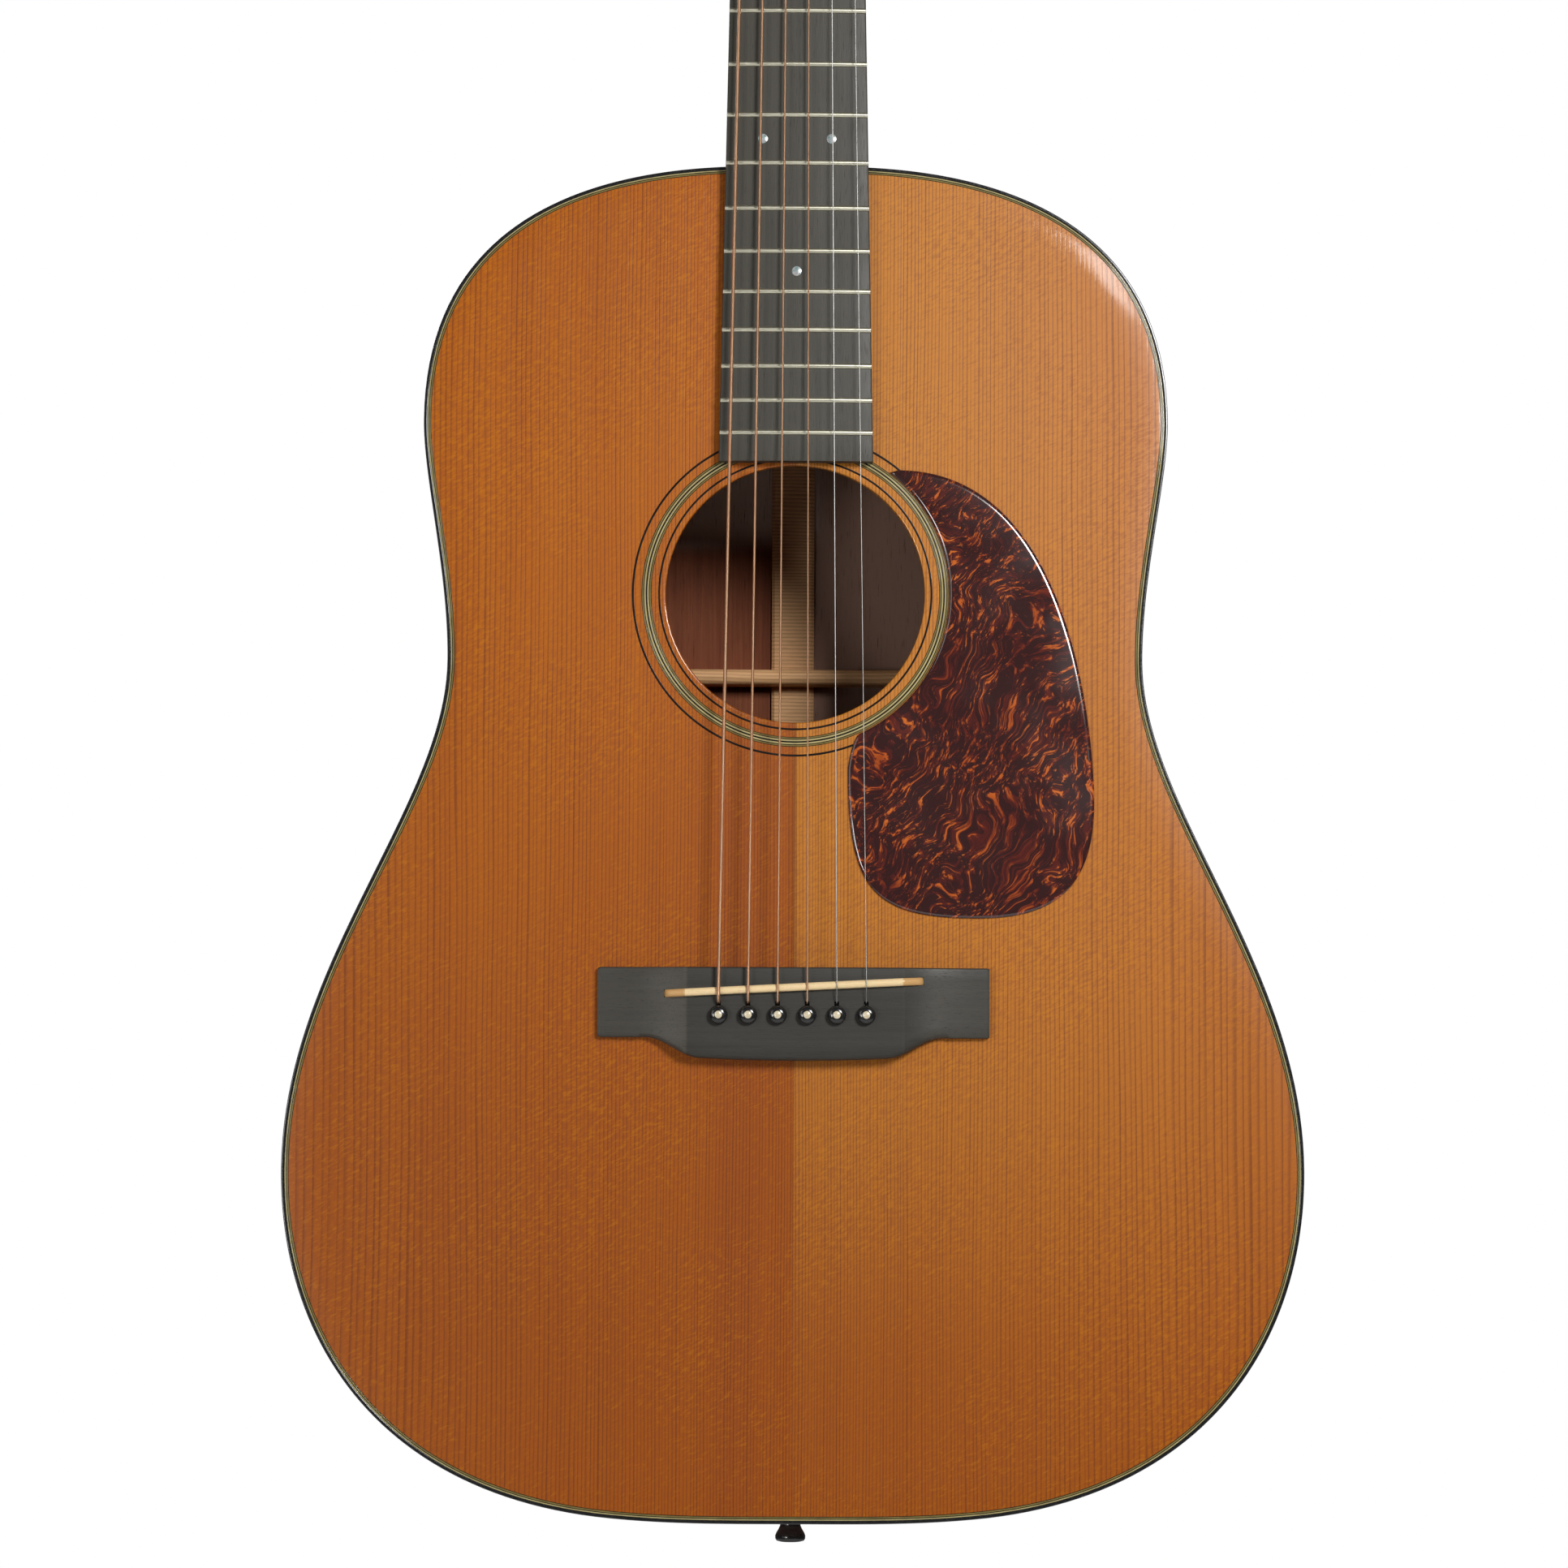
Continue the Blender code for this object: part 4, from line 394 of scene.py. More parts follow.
def metal(name, colour, rough, wear=0.12, tarnish=0.5):
    """Drawn, plated or polished metal with fine scratches and a little tarnish."""
    f = Finish(name, Metallic=1.0)
    x, y, z = f.place()
    scratch = f.noise((x, 1.1), (y, 6.0), (z, 6.0), 4.0, 0.7)
    dull = f.noise((x, 0.15), (y, 0.15), (z, 0.15), 4.0, 0.65)
    tone = f.blend(f.fade(dull, 0.4, 0.8, 0.0, tarnish), colour, tuple(c * 0.55 for c in colour))
    rough = f.add(f.fade(scratch, 0.3, 0.8, rough, rough + wear), f.fade(dull, 0.5, 0.8, 0.0, wear))
    return f.set(Base_Color=tone, Roughness=rough, Normal=f.bump(scratch, 0.01 * MM, 0.4))


def wound_wire(name, colour, dark, pitch):
    """Wire wound round a core: one turn for each step of pitch along the string."""
    f = Finish(name, Metallic=1.0)
    along = f.stored("along")
    turn = f.calc("SINE", f.times(along, 2 * math.pi / pitch))
    dull = f.noise((along, 40.0), 0.0, 0.0, 3.0)
    # painted shade: the wire is painted darker in the grooves between the turns
    tone = f.blend(f.fade(turn, -1.0, 0.2, 0.75, 0.0), colour, dark)
    tone = f.blend(f.fade(dull, 0.4, 0.7, 0.0, 0.35), tone, dark)
    rough = f.fade(dull, 0.3, 0.7, 0.34, 0.46)
    return f.set(Base_Color=tone, Roughness=rough, Normal=f.bump(turn, 0.04 * MM, 0.7))


def back_inside():
    """The back seen through the soundhole: bare, long-grained, reddish brown, with painted grey shade over the
    right and upper part, where the key light doesn't reach, and a painted light band high on the bass side.
    """
    f = Finish("mahogany_bare", Specular_IOR_Level=0.2)
    x, _, z = f.place()
    ribbon = f.noise((x, 0.11), 0.0, (z, 0.007), 2.0)
    pores = f.noise((x, 2.4), 0.0, (z, 0.07), 2.0, 0.7)
    fibre = f.noise((x, 0.9), 1.0, (z, 0.02), 4.0, 0.6)
    tone = f.ramp(ribbon, [
        (0.3, (0.150, 0.040, 0.016)), (0.52, (0.215, 0.062, 0.024)), (0.72, (0.165, 0.045, 0.018))])
    tone = f.blend(f.fade(fibre, 0.3, 0.8, 0.0, 0.5), tone, (0.09, 0.022, 0.009))
    # painted shade: the right and upper parts, which the key light through the hole doesn't reach, are painted
    # a greyer, hazier brown
    painted_shade_haze = f.fade(f.add(x, f.times(fibre, 4.0)), 2.0, 16.0)
    painted_shade_haze = f.calc("MAXIMUM", painted_shade_haze, f.fade(z, 402.0, 416.0))
    tone = f.blend(f.times(painted_shade_haze, 0.75), tone, (0.44, 0.29, 0.22))
    # painted light: a pale band high up on the bass side
    pale = f.times(f.fade(z, 404.0, 420.0), f.fade(x, 16.0, 2.0, 0.0, 0.85))
    tone = f.blend(pale, tone, (0.80, 0.66, 0.56))
    dark = f.fade(pores, 0.60, 0.68)
    tone = f.blend(f.times(dark, 0.6), tone, (0.045, 0.014, 0.008))
    rough = f.fade(fibre, 0.3, 0.8, 0.6, 0.8)
    return f.set(Base_Color=tone, Roughness=rough, Normal=f.bump(f.times(dark, -1.0), 0.05 * MM, 0.4))


def cream_dot():
    """Cream celluloid of the small dots in the pins."""
    f = Finish("cream_celluloid", Coat_Weight=0.6, Coat_Roughness=0.04)
    x, y, z = f.place()
    age = f.noise((x, 0.8), (y, 0.8), (z, 0.8), 4.0, 0.6)
    tone = f.blend(f.fade(age, 0.3, 0.7), (0.74, 0.66, 0.48), (0.60, 0.50, 0.33))
    return f.set(Base_Color=tone, Roughness=f.fade(age, 0.3, 0.7, 0.25, 0.4))


SPRUCE = spruce_lacquered()
SPRUCE_BRACE = spruce_bare("spruce_brace", turn=(0.0, math.pi / 2, 0.0))
SPRUCE_STRIP = spruce_bare("spruce_strip", turn=(0.0, math.pi / 2, 0.0))
LINING = spruce_bare("lining_spruce")
MAHOGANY = mahogany("mahogany_lacquered")
MAHOGANY_BARE = back_inside()
BLOCK = mahogany("mahogany_block", lacquered=False)
EBONY_BOARD = ebony("ebony_board")
EBONY_BRIDGE = ebony("ebony_bridge", turn=(0.0, math.pi / 2, 0.0), raised=41.0)
EBONY_VENEER = ebony("ebony_veneer", sheen=0.2)
BLACK = polished_black()
LINE_BLACK = inlay_strip("black_line", (0.006, 0.005, 0.004), (0.014, 0.011, 0.008))
LINE_CREAM = inlay_strip("cream_line", (0.46, 0.39, 0.18), (0.33, 0.27, 0.12))
LINE_OLIVE = inlay_strip("olive_line", (0.22, 0.175, 0.055), (0.15, 0.115, 0.035))
TORTOISE = tortoise()
BONE = bone()
PEARL = pearl()
CREAM_DOT = cream_dot()
NICKEL = metal("nickel_plate", (0.66, 0.63, 0.57), 0.2)
FRET_WIRE = metal("nickel_silver_fret", (0.90, 0.87, 0.70), 0.30, 0.1, 0.2)
STEEL = metal("plain_steel_wire", (0.46, 0.46, 0.44), 0.34, 0.1, 0.3)
BRONZE = wound_wire("bronze_winding", (0.90, 0.56, 0.35), (0.42, 0.20, 0.10), 0.28 * MM)
DARK_STEEL = metal("black_oxide_steel", (0.09, 0.088, 0.085), 0.35)


# ------------------------------------------------------------------ mesh work
def flat(a, b, level=0.0):
    """On the top: a across, b up from the tail, level in front of the top's face."""
    return Vector((a, TOP_Y - level, TAIL + b))


def placed_object(name, data):
    made = bpy.data.objects.new(name, data)
    bpy.context.scene.collection.objects.link(made)
    return made


def loose(name, bm):
    """A work piece, not yet part of the guitar."""
    bmesh.ops.recalc_face_normals(bm, faces=bm.faces)
    mesh = bpy.data.meshes.new(name)
    bm.to_mesh(mesh)
    bm.free()
    return placed_object(name, mesh)


def soften(made, angle):
    made.data.shade_smooth()
    made.data.set_sharp_from_angle(angle=math.radians(angle))


def settle(made, slot, stands_for=(), body="guitar"):
    """Says which body a finished piece rides on and hides the machined parts it stands for; slot is not used.
    """
    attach(made, body)
    if stands_for:
        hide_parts(*stands_for)
    return made


def piece(name, bm, finishes, slot, stands_for=(), body="guitar", smooth=35):
    """A finished, named mesh that rides on a body; faces carry their own finish index."""
    bmesh.ops.remove_doubles(bm, verts=bm.verts, dist=1e-7)
    made = loose(name, bm)
    soften(made, smooth)
    for finish in finishes if isinstance(finishes, list) else [finishes]:
        made.data.materials.append(finish)
    return settle(made, slot, stands_for, body)


def bake(made):
    """Turns what the modifiers give into the object's own mesh."""
    graph = bpy.context.evaluated_depsgraph_get()
    seen = made.evaluated_get(graph)
    mesh = bpy.data.meshes.new_from_object(seen, preserve_all_data_layers=True, depsgraph=graph)
    made.modifiers.clear()
    old = made.data
    made.data = mesh
    bpy.data.meshes.remove(old)
    mesh.name = made.name


def cut_away(made, bm):
    """Takes a closed shape out of a work piece."""
    tool = loose("cutter", bm)
    step = made.modifiers.new("cut", "BOOLEAN")
    step.operation, step.solver, step.object = "DIFFERENCE", "EXACT", tool
    bake(made)
    data = tool.data
    bpy.data.objects.remove(tool, do_unlink=True)
    bpy.data.meshes.remove(data)


def settle_cut(made, finish, smooth, slot, stands_for):
    """Finishes a work piece that has had its cuts."""
    made.data.materials.append(finish)
    soften(made, smooth)
    settle(made, slot, stands_for)


def join_rows(bm, near, far, finish=0):
    """A closed band of faces between two rows of as many corners."""
    for i in range(len(near)):
        j = (i + 1) % len(near)
        bm.faces.new((near[i], near[j], far[j], far[i])).material_index = finish


def loft(bm, rings, closed=False):
    """A skin over rings of points, with flat ends unless the last ring joins the first."""
    rows = [[bm.verts.new(p) for p in ring] for ring in rings]
    for near, far in list(zip(rows, rows[1:])) + ([(rows[-1], rows[0])] if closed else []):
        join_rows(bm, near, far)
    if not closed:
        bm.faces.new(rows[0])
        bm.faces.new(rows[-1][::-1])
    return rows


def slab(bm, stacks, place):
    """A plate from its rims: each stack is (loop, level) from back to front, the outside first."""
    walls = []
    for stack in stacks:
        rows = [[bm.verts.new(place(a, b, level)) for a, b in loop] for loop, level in stack]
        walls.append(rows)
        for near, far in zip(rows, rows[1:]):
            join_rows(bm, near, far)
    for end in (0, -1):
        loops = [[Vector((a, b, 0)) for a, b in stack[end][0]] for stack in stacks]
        corners = [v for rows in walls for v in rows[end]]
        for tri in tessellate_polygon(loops):
            bm.faces.new([corners[i] for i in tri])


def lofted(name, rings, *finish_and_place, closed=False, **more):
    """A piece that is one skin over rings of points."""
    bm = bmesh.new()
    loft(bm, rings, closed)
    return piece(name, bm, *finish_and_place, **more)


def plate(name, stacks, place, *finish_and_place, **more):
    """A piece that is one plate."""
    bm = bmesh.new()
    slab(bm, stacks, place)
    return piece(name, bm, *finish_and_place, **more)


def winding(loop):
    """Twice the area inside a flat loop, negative where the loop runs clockwise."""
    return sum(a[0] * b[1] - b[0] * a[1] for a, b in zip(loop, list(loop[1:]) + [loop[0]]))


def inset(loop, by):
    """A closed flat loop moved towards its inside; a negative distance moves it out."""
    turn = 1 if winding(loop) > 0 else -1
    sharpest = 0.35
    moved = []
    for i, here in enumerate(loop):
        before, after = Vector(loop[i - 1]), Vector(loop[(i + 1) % len(loop)])
        here = Vector(here)
        a, b = (here - before).normalized(), (after - here).normalized()
        normal = Vector((-(a.y + b.y), a.x + b.x)).normalized() * turn
        spread = max(normal.dot(Vector((-a.y, a.x)) * turn), sharpest)
        moved.append(here + normal * by / spread)
    return moved


def quarter(steps, first=0):
    """Steps round a quarter turn: in from the wall and below the face, as shares of the radius."""
    turns = [math.pi / 2 * k / steps for k in range(first, steps + 1)]
    return [(1 - math.cos(t), 1 - math.sin(t)) for t in turns]


def rim(loop, low, high, round_by, steps=3, both=False):
    """A stack for slab(): straight sides with a rounded front edge, and back edge if asked."""
    stack = [(list(loop), low)]
    if both:
        stack = [(inset(loop, round_by * below), low + round_by * inward) for inward, below in quarter(steps)]
    stack += [(inset(loop, round_by * inward), high - round_by * below) for inward, below in quarter(steps)]
    return stack


def circle(radius, sides=48, centre=(0.0, 0.0)):
    angles = [2 * math.pi * (i + 0.5) / sides for i in range(sides)]
    return [(centre[0] + radius * math.cos(t), centre[1] + radius * math.sin(t)) for t in angles]


def turned(bm, profile, place, sides=40, finish=None):
    """Turns (radius, along) points about an axis; finish(i) gives the finish of each band."""
    rings = []
    for radius, along in profile:
        if radius == 0:
            rings.append([bm.verts.new(place(0, 0, along))])
            continue
        angles = [2 * math.pi * i / sides for i in range(sides)]
        rings.append([bm.verts.new(place(radius * math.cos(t), radius * math.sin(t), along)) for t in angles])
    for band, (near, far) in enumerate(zip(rings, rings[1:])):
        for i in range(sides):
            j = (i + 1) % sides
            corners = [near[i % len(near)], near[j % len(near)], far[j % len(far)], far[i % len(far)]]
            face = bm.faces.new(list(dict.fromkeys(corners)))
            face.material_index = finish(band) if finish else 0


def bezier(points, steps):
    """Points along a curve with two handles, without its last one."""
    a, b, c, d = (Vector(p) for p in points)
    made = []
    for i in range(steps):
        t = i / steps
        s = 1 - t
        made.append(s**3 * a + 3 * s * s * t * b + 3 * s * t * t * c + t**3 * d)
    return made


def eased(rows, steps):
    """Rows of numbers with smooth rows put between them, through every given row."""

    def between(a, b, c, d, t):
        square, cube = 2 * a - 5 * b + 4 * c - d, 3 * b - a - 3 * c + d
        return 0.5 * (2 * b + (c - a) * t + square * t * t + cube * t**3)

    made = []
    for i in range(len(rows) - 1):
        near = [rows[max(i - 1, 0)], rows[i], rows[i + 1], rows[min(i + 2, len(rows) - 1)]]
        made += [[between(*four, k / steps) for four in zip(*near)] for k in range(steps)]
    return made + [list(rows[-1])]


# -------------------------------------------------------------- body's outline
def half_outline(offset=0.0):
    """The treble half of the outline from neck to tail, moved in by offset."""
    end, k, rise = BODY_LENGTH, 76 * MM, 2.6 * MM
    upper, waist, lower = 146.6 * MM, 136.3 * MM, 198.9 * MM
    upper_z, waist_z, lower_z = 429.8 * MM, 335.3 * MM, 136.2 * MM
    points = bezier(((0, end), (24 * MM, end), (upper, end + 8.2 * MM), (upper, upper_z)), 54)
    points += bezier(
        ((upper, upper_z), (upper, upper_z - 22.5 * MM), (waist, waist_z + 34.7 * MM), (waist, waist_z)), 30)
    points += bezier(
        ((waist, waist_z), (waist, waist_z - 57.7 * MM), (lower, lower_z + 80.5 * MM), (lower, lower_z)), 42)
    points += bezier(
        ((lower, lower_z), (lower, lower_z - 64.2 * MM), (k + 85.7 * MM, rise + 10.3 * MM), (k, rise)), 48)
    points += bezier(((k, rise), (k - 25 * MM, -0.3 * MM), (k / 3, 0), (0, 0)), 12) + [Vector((0, 0))]
    moved = []
    for i, point in enumerate(points):
        along = points[min(i + 1, len(points) - 1)] - points[max(i - 1, 0)]
        if point.x == 0:
            along = Vector((1 if i == 0 else -1, 0))
        moved.append(point + offset * Vector((along.y, -along.x)).normalized())
    return moved


def whole_outline(offset=0.0):
    half = half_outline(offset)
    return half + [Vector((-p.x, p.y)) for p in half[-2:0:-1]]


def back_y(x, up):
    t = up / BODY_LENGTH
    depth = DEPTH_TAIL + (DEPTH_NECK - DEPTH_TAIL) * t + 4 * BACK_LONG_ARCH * t * (1 - t)
    return TOP_Y + depth - x * x / (2 * BACK_ARCH_RADIUS)


def roll(inside):
    """How far the top's face is sanded down at a distance in from its edge."""
    return -EDGE_ROLL * max(1 - inside / EDGE_REACH, 0.0) ** 2


# ----------------------------------------------------------- soundboard, strips
def make_soundboard():
    """The top: rolled off at its edge, with a level ring beyond the roll and beyond the hole's eased rim."""
    near, eased_by = 2.95 * MM, 0.7 * MM
    outer = [(whole_outline(near), -PLATE)]
    for d in (near, 3.6 * MM, 4.6 * MM, 6 * MM, 8 * MM, 10.5 * MM, EDGE_REACH, EDGE_REACH + 2 * MM):
        outer.append((whole_outline(d), roll(d)))
    hole = circle(HOLE_RADIUS, 160, (0.0, HOLE_AT))
    inner = [(hole, -PLATE)]
    inner += [(inset(hole, -eased_by * inward), -eased_by * below) for inward, below in quarter(4)]
    inner.append((inset(hole, -eased_by - 0.8 * MM), 0.0))
    plate("soundboard_plate", [outer, inner], flat, SPRUCE, "spruce_top", ["soundboard"])


class PieceTree:
    """A Geometry Nodes tree with named inputs, whose end realizes the instances and sets the finish."""

    def __init__(self, name, **inputs):
        self.tree = bpy.data.node_groups.new(name, "GeometryNodeTree")
        sockets = {"Geometry": "Geometry", **inputs, "Finish": "Material"}
        for label, kind in sockets.items():
            self.socket(label, kind, "INPUT")
        self.socket("Geometry", "Geometry", "OUTPUT")
        self.given = self.node("NodeGroupInput").outputs

    def socket(self, label, kind, way):
        name = label.replace("_", " ")
        self.tree.interface.new_socket(name, in_out=way, socket_type="NodeSocket" + kind)

    def node(self, kind, feeds=None, **settings):
        return node(self.tree, kind, feeds, **settings)

    def calc(self, operation, a, b):
        return self.node("ShaderNodeMath", {0: a, 1: b}, operation=operation)

    def end(self, shape, after=None):
        """Realizes the shape, lets after() change it, and sets its finish."""
        real = self.node("GeometryNodeRealizeInstances", {"Geometry": shape})
        real = after(real) if after else real
        done = self.node("GeometryNodeSetMaterial", {"Geometry": real, "Material": self.given["Finish"]})
        feed(self.tree, self.node("NodeGroupOutput").inputs[0], done)
        return self

    def grow(self, name, mesh, smooth, **values):
        """The tree's result on a mesh, as a plain mesh of its own; values are the named inputs."""
        made = placed_object(name, mesh)
        step = made.modifiers.new(name, "NODES")
        step.node_group = self.tree
        for item in self.tree.interface.items_tree:
            label = item.name.replace(" ", "_")
            if item.item_type == "SOCKET" and item.in_out == "INPUT" and label in values:
                step[item.identifier] = values[label]
        bake(made)
        soften(made, smooth)
        return made


def strip_tree():
    """A strip that follows a closed loop drawn flat: inset, width and levels are measured from the loop."""
    t = PieceTree("edging_strip", Inset="Float", Width="Float", Low="Float", High="Float", Round="Float")
    inset_by, width, low, high = (t.given[label] for label in ("Inset", "Width", "Low", "High"))
    tall = t.calc("SUBTRACT", high, low)
    shape = t.node("GeometryNodeCurvePrimitiveQuadrilateral", {"Width": width, "Height": tall})
    corners = {"Curve": shape, "Count": 3, "Radius": t.given["Round"], "Limit Radius": True}
    shape = t.node("GeometryNodeFilletCurve", corners, mode="POLY")
    middle = t.calc("MULTIPLY", t.calc("ADD", high, low), -0.5)
    across = t.calc("SUBTRACT", t.calc("MULTIPLY", width, -0.5), inset_by)
    shift = t.node("ShaderNodeCombineXYZ", {0: across, 1: middle})
    shape = t.node("GeometryNodeTransform", {"Geometry": shape, "Translation": shift})
    line = t.node("GeometryNodeMeshToCurve", {"Mesh": t.given["Geometry"]})
    swept = t.node("GeometryNodeCurveToMesh", {"Curve": line, "Profile Curve": shape})
    stand = {"Geometry": swept, "Rotation": (math.pi / 2, 0, 0), "Translation": (0, TOP_Y, TAIL)}
    return t.end(t.node("GeometryNodeTransform", stand))


STRIP = strip_tree()


def strip(name, loop, where, width, low, high, finish, round_by, slot, stands_for=()):
    """A thin strip along a loop; where is how far in from the loop it starts."""
    loop = loop if winding(loop) > 0 else loop[::-1]
    mesh = bpy.data.meshes.new(name)
    count = len(loop)
    mesh.from_pydata([(p[0], p[1], 0.0) for p in loop], [(i, (i + 1) % count) for i in range(count)], [])
    section = {"Inset": where, "Width": width, "Low": low, "High": high, "Round": round_by}
    made = STRIP.grow(name, mesh, 40, Finish=finish, **section)
    return settle(made, slot, stands_for)


def make_edging():
    """Black edging and, inside it, the thin purfling lines."""
    edge = [tuple(p) for p in whole_outline(0.0)]
    wide, crown = 1.45 * MM, roll(0.9 * MM)
    strip("top_edging", edge, 0.0, wide, -BINDING_HEIGHT, crown, BLACK, 0.35 * MM,
          "black_plastic", ["top_binding"])
    lines = (
        ("edging_cream_line", 1.45, 0.42, LINE_CREAM), ("edging_black_line", 1.87, 0.30, LINE_BLACK),
        ("edging_olive_line", 2.17, 0.52, LINE_OLIVE), ("edging_inner_line", 2.69, 0.28, LINE_BLACK),
    )
    for name, at, wide, finish in lines:
        level = roll((at + wide / 2) * MM) + 0.015 * MM
        strip(name, edge, at * MM, wide * MM, -2 * MM, level, finish, 0.04 * MM, "rosette_inlay")


def make_rosette():
    """Rings round the soundhole: one fine line, the laminated ring, and an outer fine line."""
    rings = [
        ("hole_line", 53.05, 0.80, LINE_BLACK), ("hole_outer_line", 63.35, 0.85, LINE_BLACK),
        ("ring_black_in", 56.50, 0.26, LINE_BLACK), ("ring_olive_inner", 56.76, 0.46, LINE_OLIVE),
        ("ring_black_1", 57.22, 0.32, LINE_BLACK), ("ring_cream_1", 57.54, 0.60, LINE_CREAM),
        ("ring_black_2", 58.14, 0.60, LINE_BLACK), ("ring_cream_2", 58.74, 0.60, LINE_CREAM),
        ("ring_black_3", 59.34, 0.32, LINE_BLACK), ("ring_olive_outer", 59.66, 0.46, LINE_OLIVE),
        ("ring_black_out", 60.12, 0.26, LINE_BLACK),
    ]
    for name, radius, wide, finish in rings:
        loop = circle((radius + wide) * MM, 200, (0.0, HOLE_AT))
        stands = ["rosette"] if name == "ring_black_2" else ()
        strip("rosette_" + name, loop, 0.0, wide * MM, -1.2 * MM, 0.02 * MM, finish, 0.04 * MM,
              "rosette_inlay", stands)


# ------------------------------------------------------------- back and sides
def rim_point(point, depth=None, above_back=None):
    """A point of the outline, either so deep behind the top's face or so far above the back's outer face."""
    y = TOP_Y + depth if depth is not None else back_y(point.x, point.y) - above_back
    return Vector((point.x, y, TAIL + point.y))


def make_sides():
    """Bent sides: a fine loft from the neck joint round to the tail seam, bare half way down inside."""
    low, rows_deep = BINDING_HEIGHT + 0.05 * MM, 6
    by_neck, by_tail = 11.3 * MM, 0.02 * MM
    for name, sign in (("bass", -1), ("treble", 1)):
        rings = []
        outer, inner = half_outline(0.0), half_outline(SIDE_THICK)
        for i, (o, n) in enumerate(zip(outer[1:], inner[1:])):
            least = by_neck if i < len(outer) / 2 else by_tail
            ring = []
            for p, outside in ((o, True), (n, False)):
                p = Vector((sign * max(p.x, least), p.y))
                ends = [rim_point(p, depth=low), rim_point(p, above_back=low)]
                a, b = ends if outside else ends[::-1]
                ring += [a.lerp(b, k / (rows_deep - 1)) for k in range(rows_deep)]
            rings.append(ring)
        bm = bmesh.new()
        rows = loft(bm, rings)
        bare = rows_deep + 2  # a corner half way down the inner wall
        for near, far in zip(rows, rows[1:]):
            for face in set(near[bare].link_faces) & set(far[bare].link_faces):
                face.material_index = 1
        piece(f"side_{name}_bent", bm, [MAHOGANY, MAHOGANY_BARE], "mahogany", [f"side_{name}"])


def make_back():
    """The arched back, bare inside, lacquered outside."""
    edge = whole_outline(1.45 * MM)
    middle = Vector((0, 0.55 * BODY_LENGTH))
    shares = (1.0, 0.93, 0.84, 0.74, 0.63, 0.52, 0.4, 0.28, 0.16, 0.07)
    count = len(edge)
    bm = bmesh.new()
    rims = []
    for level, finish in ((0.0, 0), (PLATE, 1)):
        rows = []
        for share in shares:
            dome = [rim_point(middle + share * (p - middle), above_back=level) for p in edge]
            rows.append([bm.verts.new(p) for p in dome])
        rims.append(rows[0])
        centre = bm.verts.new(rim_point(middle, above_back=level))
        for near, far in zip(rows, rows[1:]):
            join_rows(bm, near, far, finish)
        for i in range(count):
            bm.faces.new((rows[-1][i], rows[-1][(i + 1) % count], centre)).material_index = finish
    join_rows(bm, *rims)
    piece("back_plate", bm, [MAHOGANY, MAHOGANY_BARE], "mahogany", ["back"])


def make_back_edging():
    """Black edging round the back, following its arch, with a rounded outer corner."""
    deep, corner, near = 6 * MM, 0.8 * MM, 0.3 * MM
    lines = ((0.0, deep), (0.0, corner), (near, near), (corner, 0), (1.5 * MM, 0), (1.5 * MM, deep))
    outlines = [whole_outline(d) for d, _ in lines]
    rings = []
    for points in zip(*outlines):
        rings.append([rim_point(p, above_back=level) for p, (_, level) in zip(points, lines)])
    lofted("back_edging", rings, BLACK, "black_plastic", ["back_binding"], closed=True)


BACK_SEAT = PLATE + 0.45 * MM


def make_seen_brace():
    """The back brace that shows through the soundhole: round on top, tapered to its ends."""
    up, wide, tall, low = BODY_LENGTH - 193.3 * MM, 6.4 * MM, 13 * MM, 3 * MM
    reach, taper = 118 * MM, 34 * MM
    rings = []
    for k in range(41):
        x = -reach + 2 * reach * k / 40
        share = min((reach - abs(x)) / taper, 1.0)
        wall = max(low + (tall - low) * math.sin(share * math.pi / 2) - wide / 2, 0.6 * MM)
        section = [(-wide / 2, 0)]
        for i in range(9):
            t = math.pi * i / 8
            section.append((-wide / 2 * math.cos(t), wall + wide / 2 * math.sin(t)))
        section.append((wide / 2, 0))
        rings.append([rim_point(Vector((x, up + b)), above_back=BACK_SEAT + level) for b, level in section])
    lofted("back_brace_2_rounded", rings, SPRUCE_BRACE, "brace_spruce", ["back_brace_2"])


def make_centre_strip():
    """The strip over the back's seam, rounded across."""
    low, high = 24 * MM, BODY_LENGTH - 47 * MM
    half, eased_by = 8.8 * MM, 1.2 * MM
    section = ((-half, 0), (half, 0), (half, 1.0 * MM), (half - eased_by, 1.9 * MM), (0, 2.1 * MM),
               (-half + eased_by, 1.9 * MM), (-half, 1.0 * MM))
    rings = []
    for k in range(61):
        at = low + (high - low) * k / 60
        rings.append([rim_point(Vector((x, at)), above_back=BACK_SEAT + level) for x, level in section])
    lofted("back_centre_strip_rounded", rings, SPRUCE_STRIP, "brace_spruce", ["back_centre_strip"])


def dress_hidden():
    """Finishes for the machined parts whose shape already serves."""
    braces = ["top_cross_brace", "tone_bar_upper", "tone_bar_lower", "x_brace_bass_leg", "x_brace_treble_leg",
              "back_brace_1", "back_brace_3", "back_brace_4"]
    linings = [f"{face}_lining_{side}" for face in ("top", "back") for side in ("bass", "treble")]
    blocks = ["neck_block", "tail_block", "bridge_plate"]
    dressed = ((braces, SPRUCE_BRACE), (linings, LINING), (blocks, BLOCK), (["truss_rod"], DARK_STEEL))
    for names, finish in dressed:
        for name in names:
            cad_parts[name].material_slots[0].material = finish


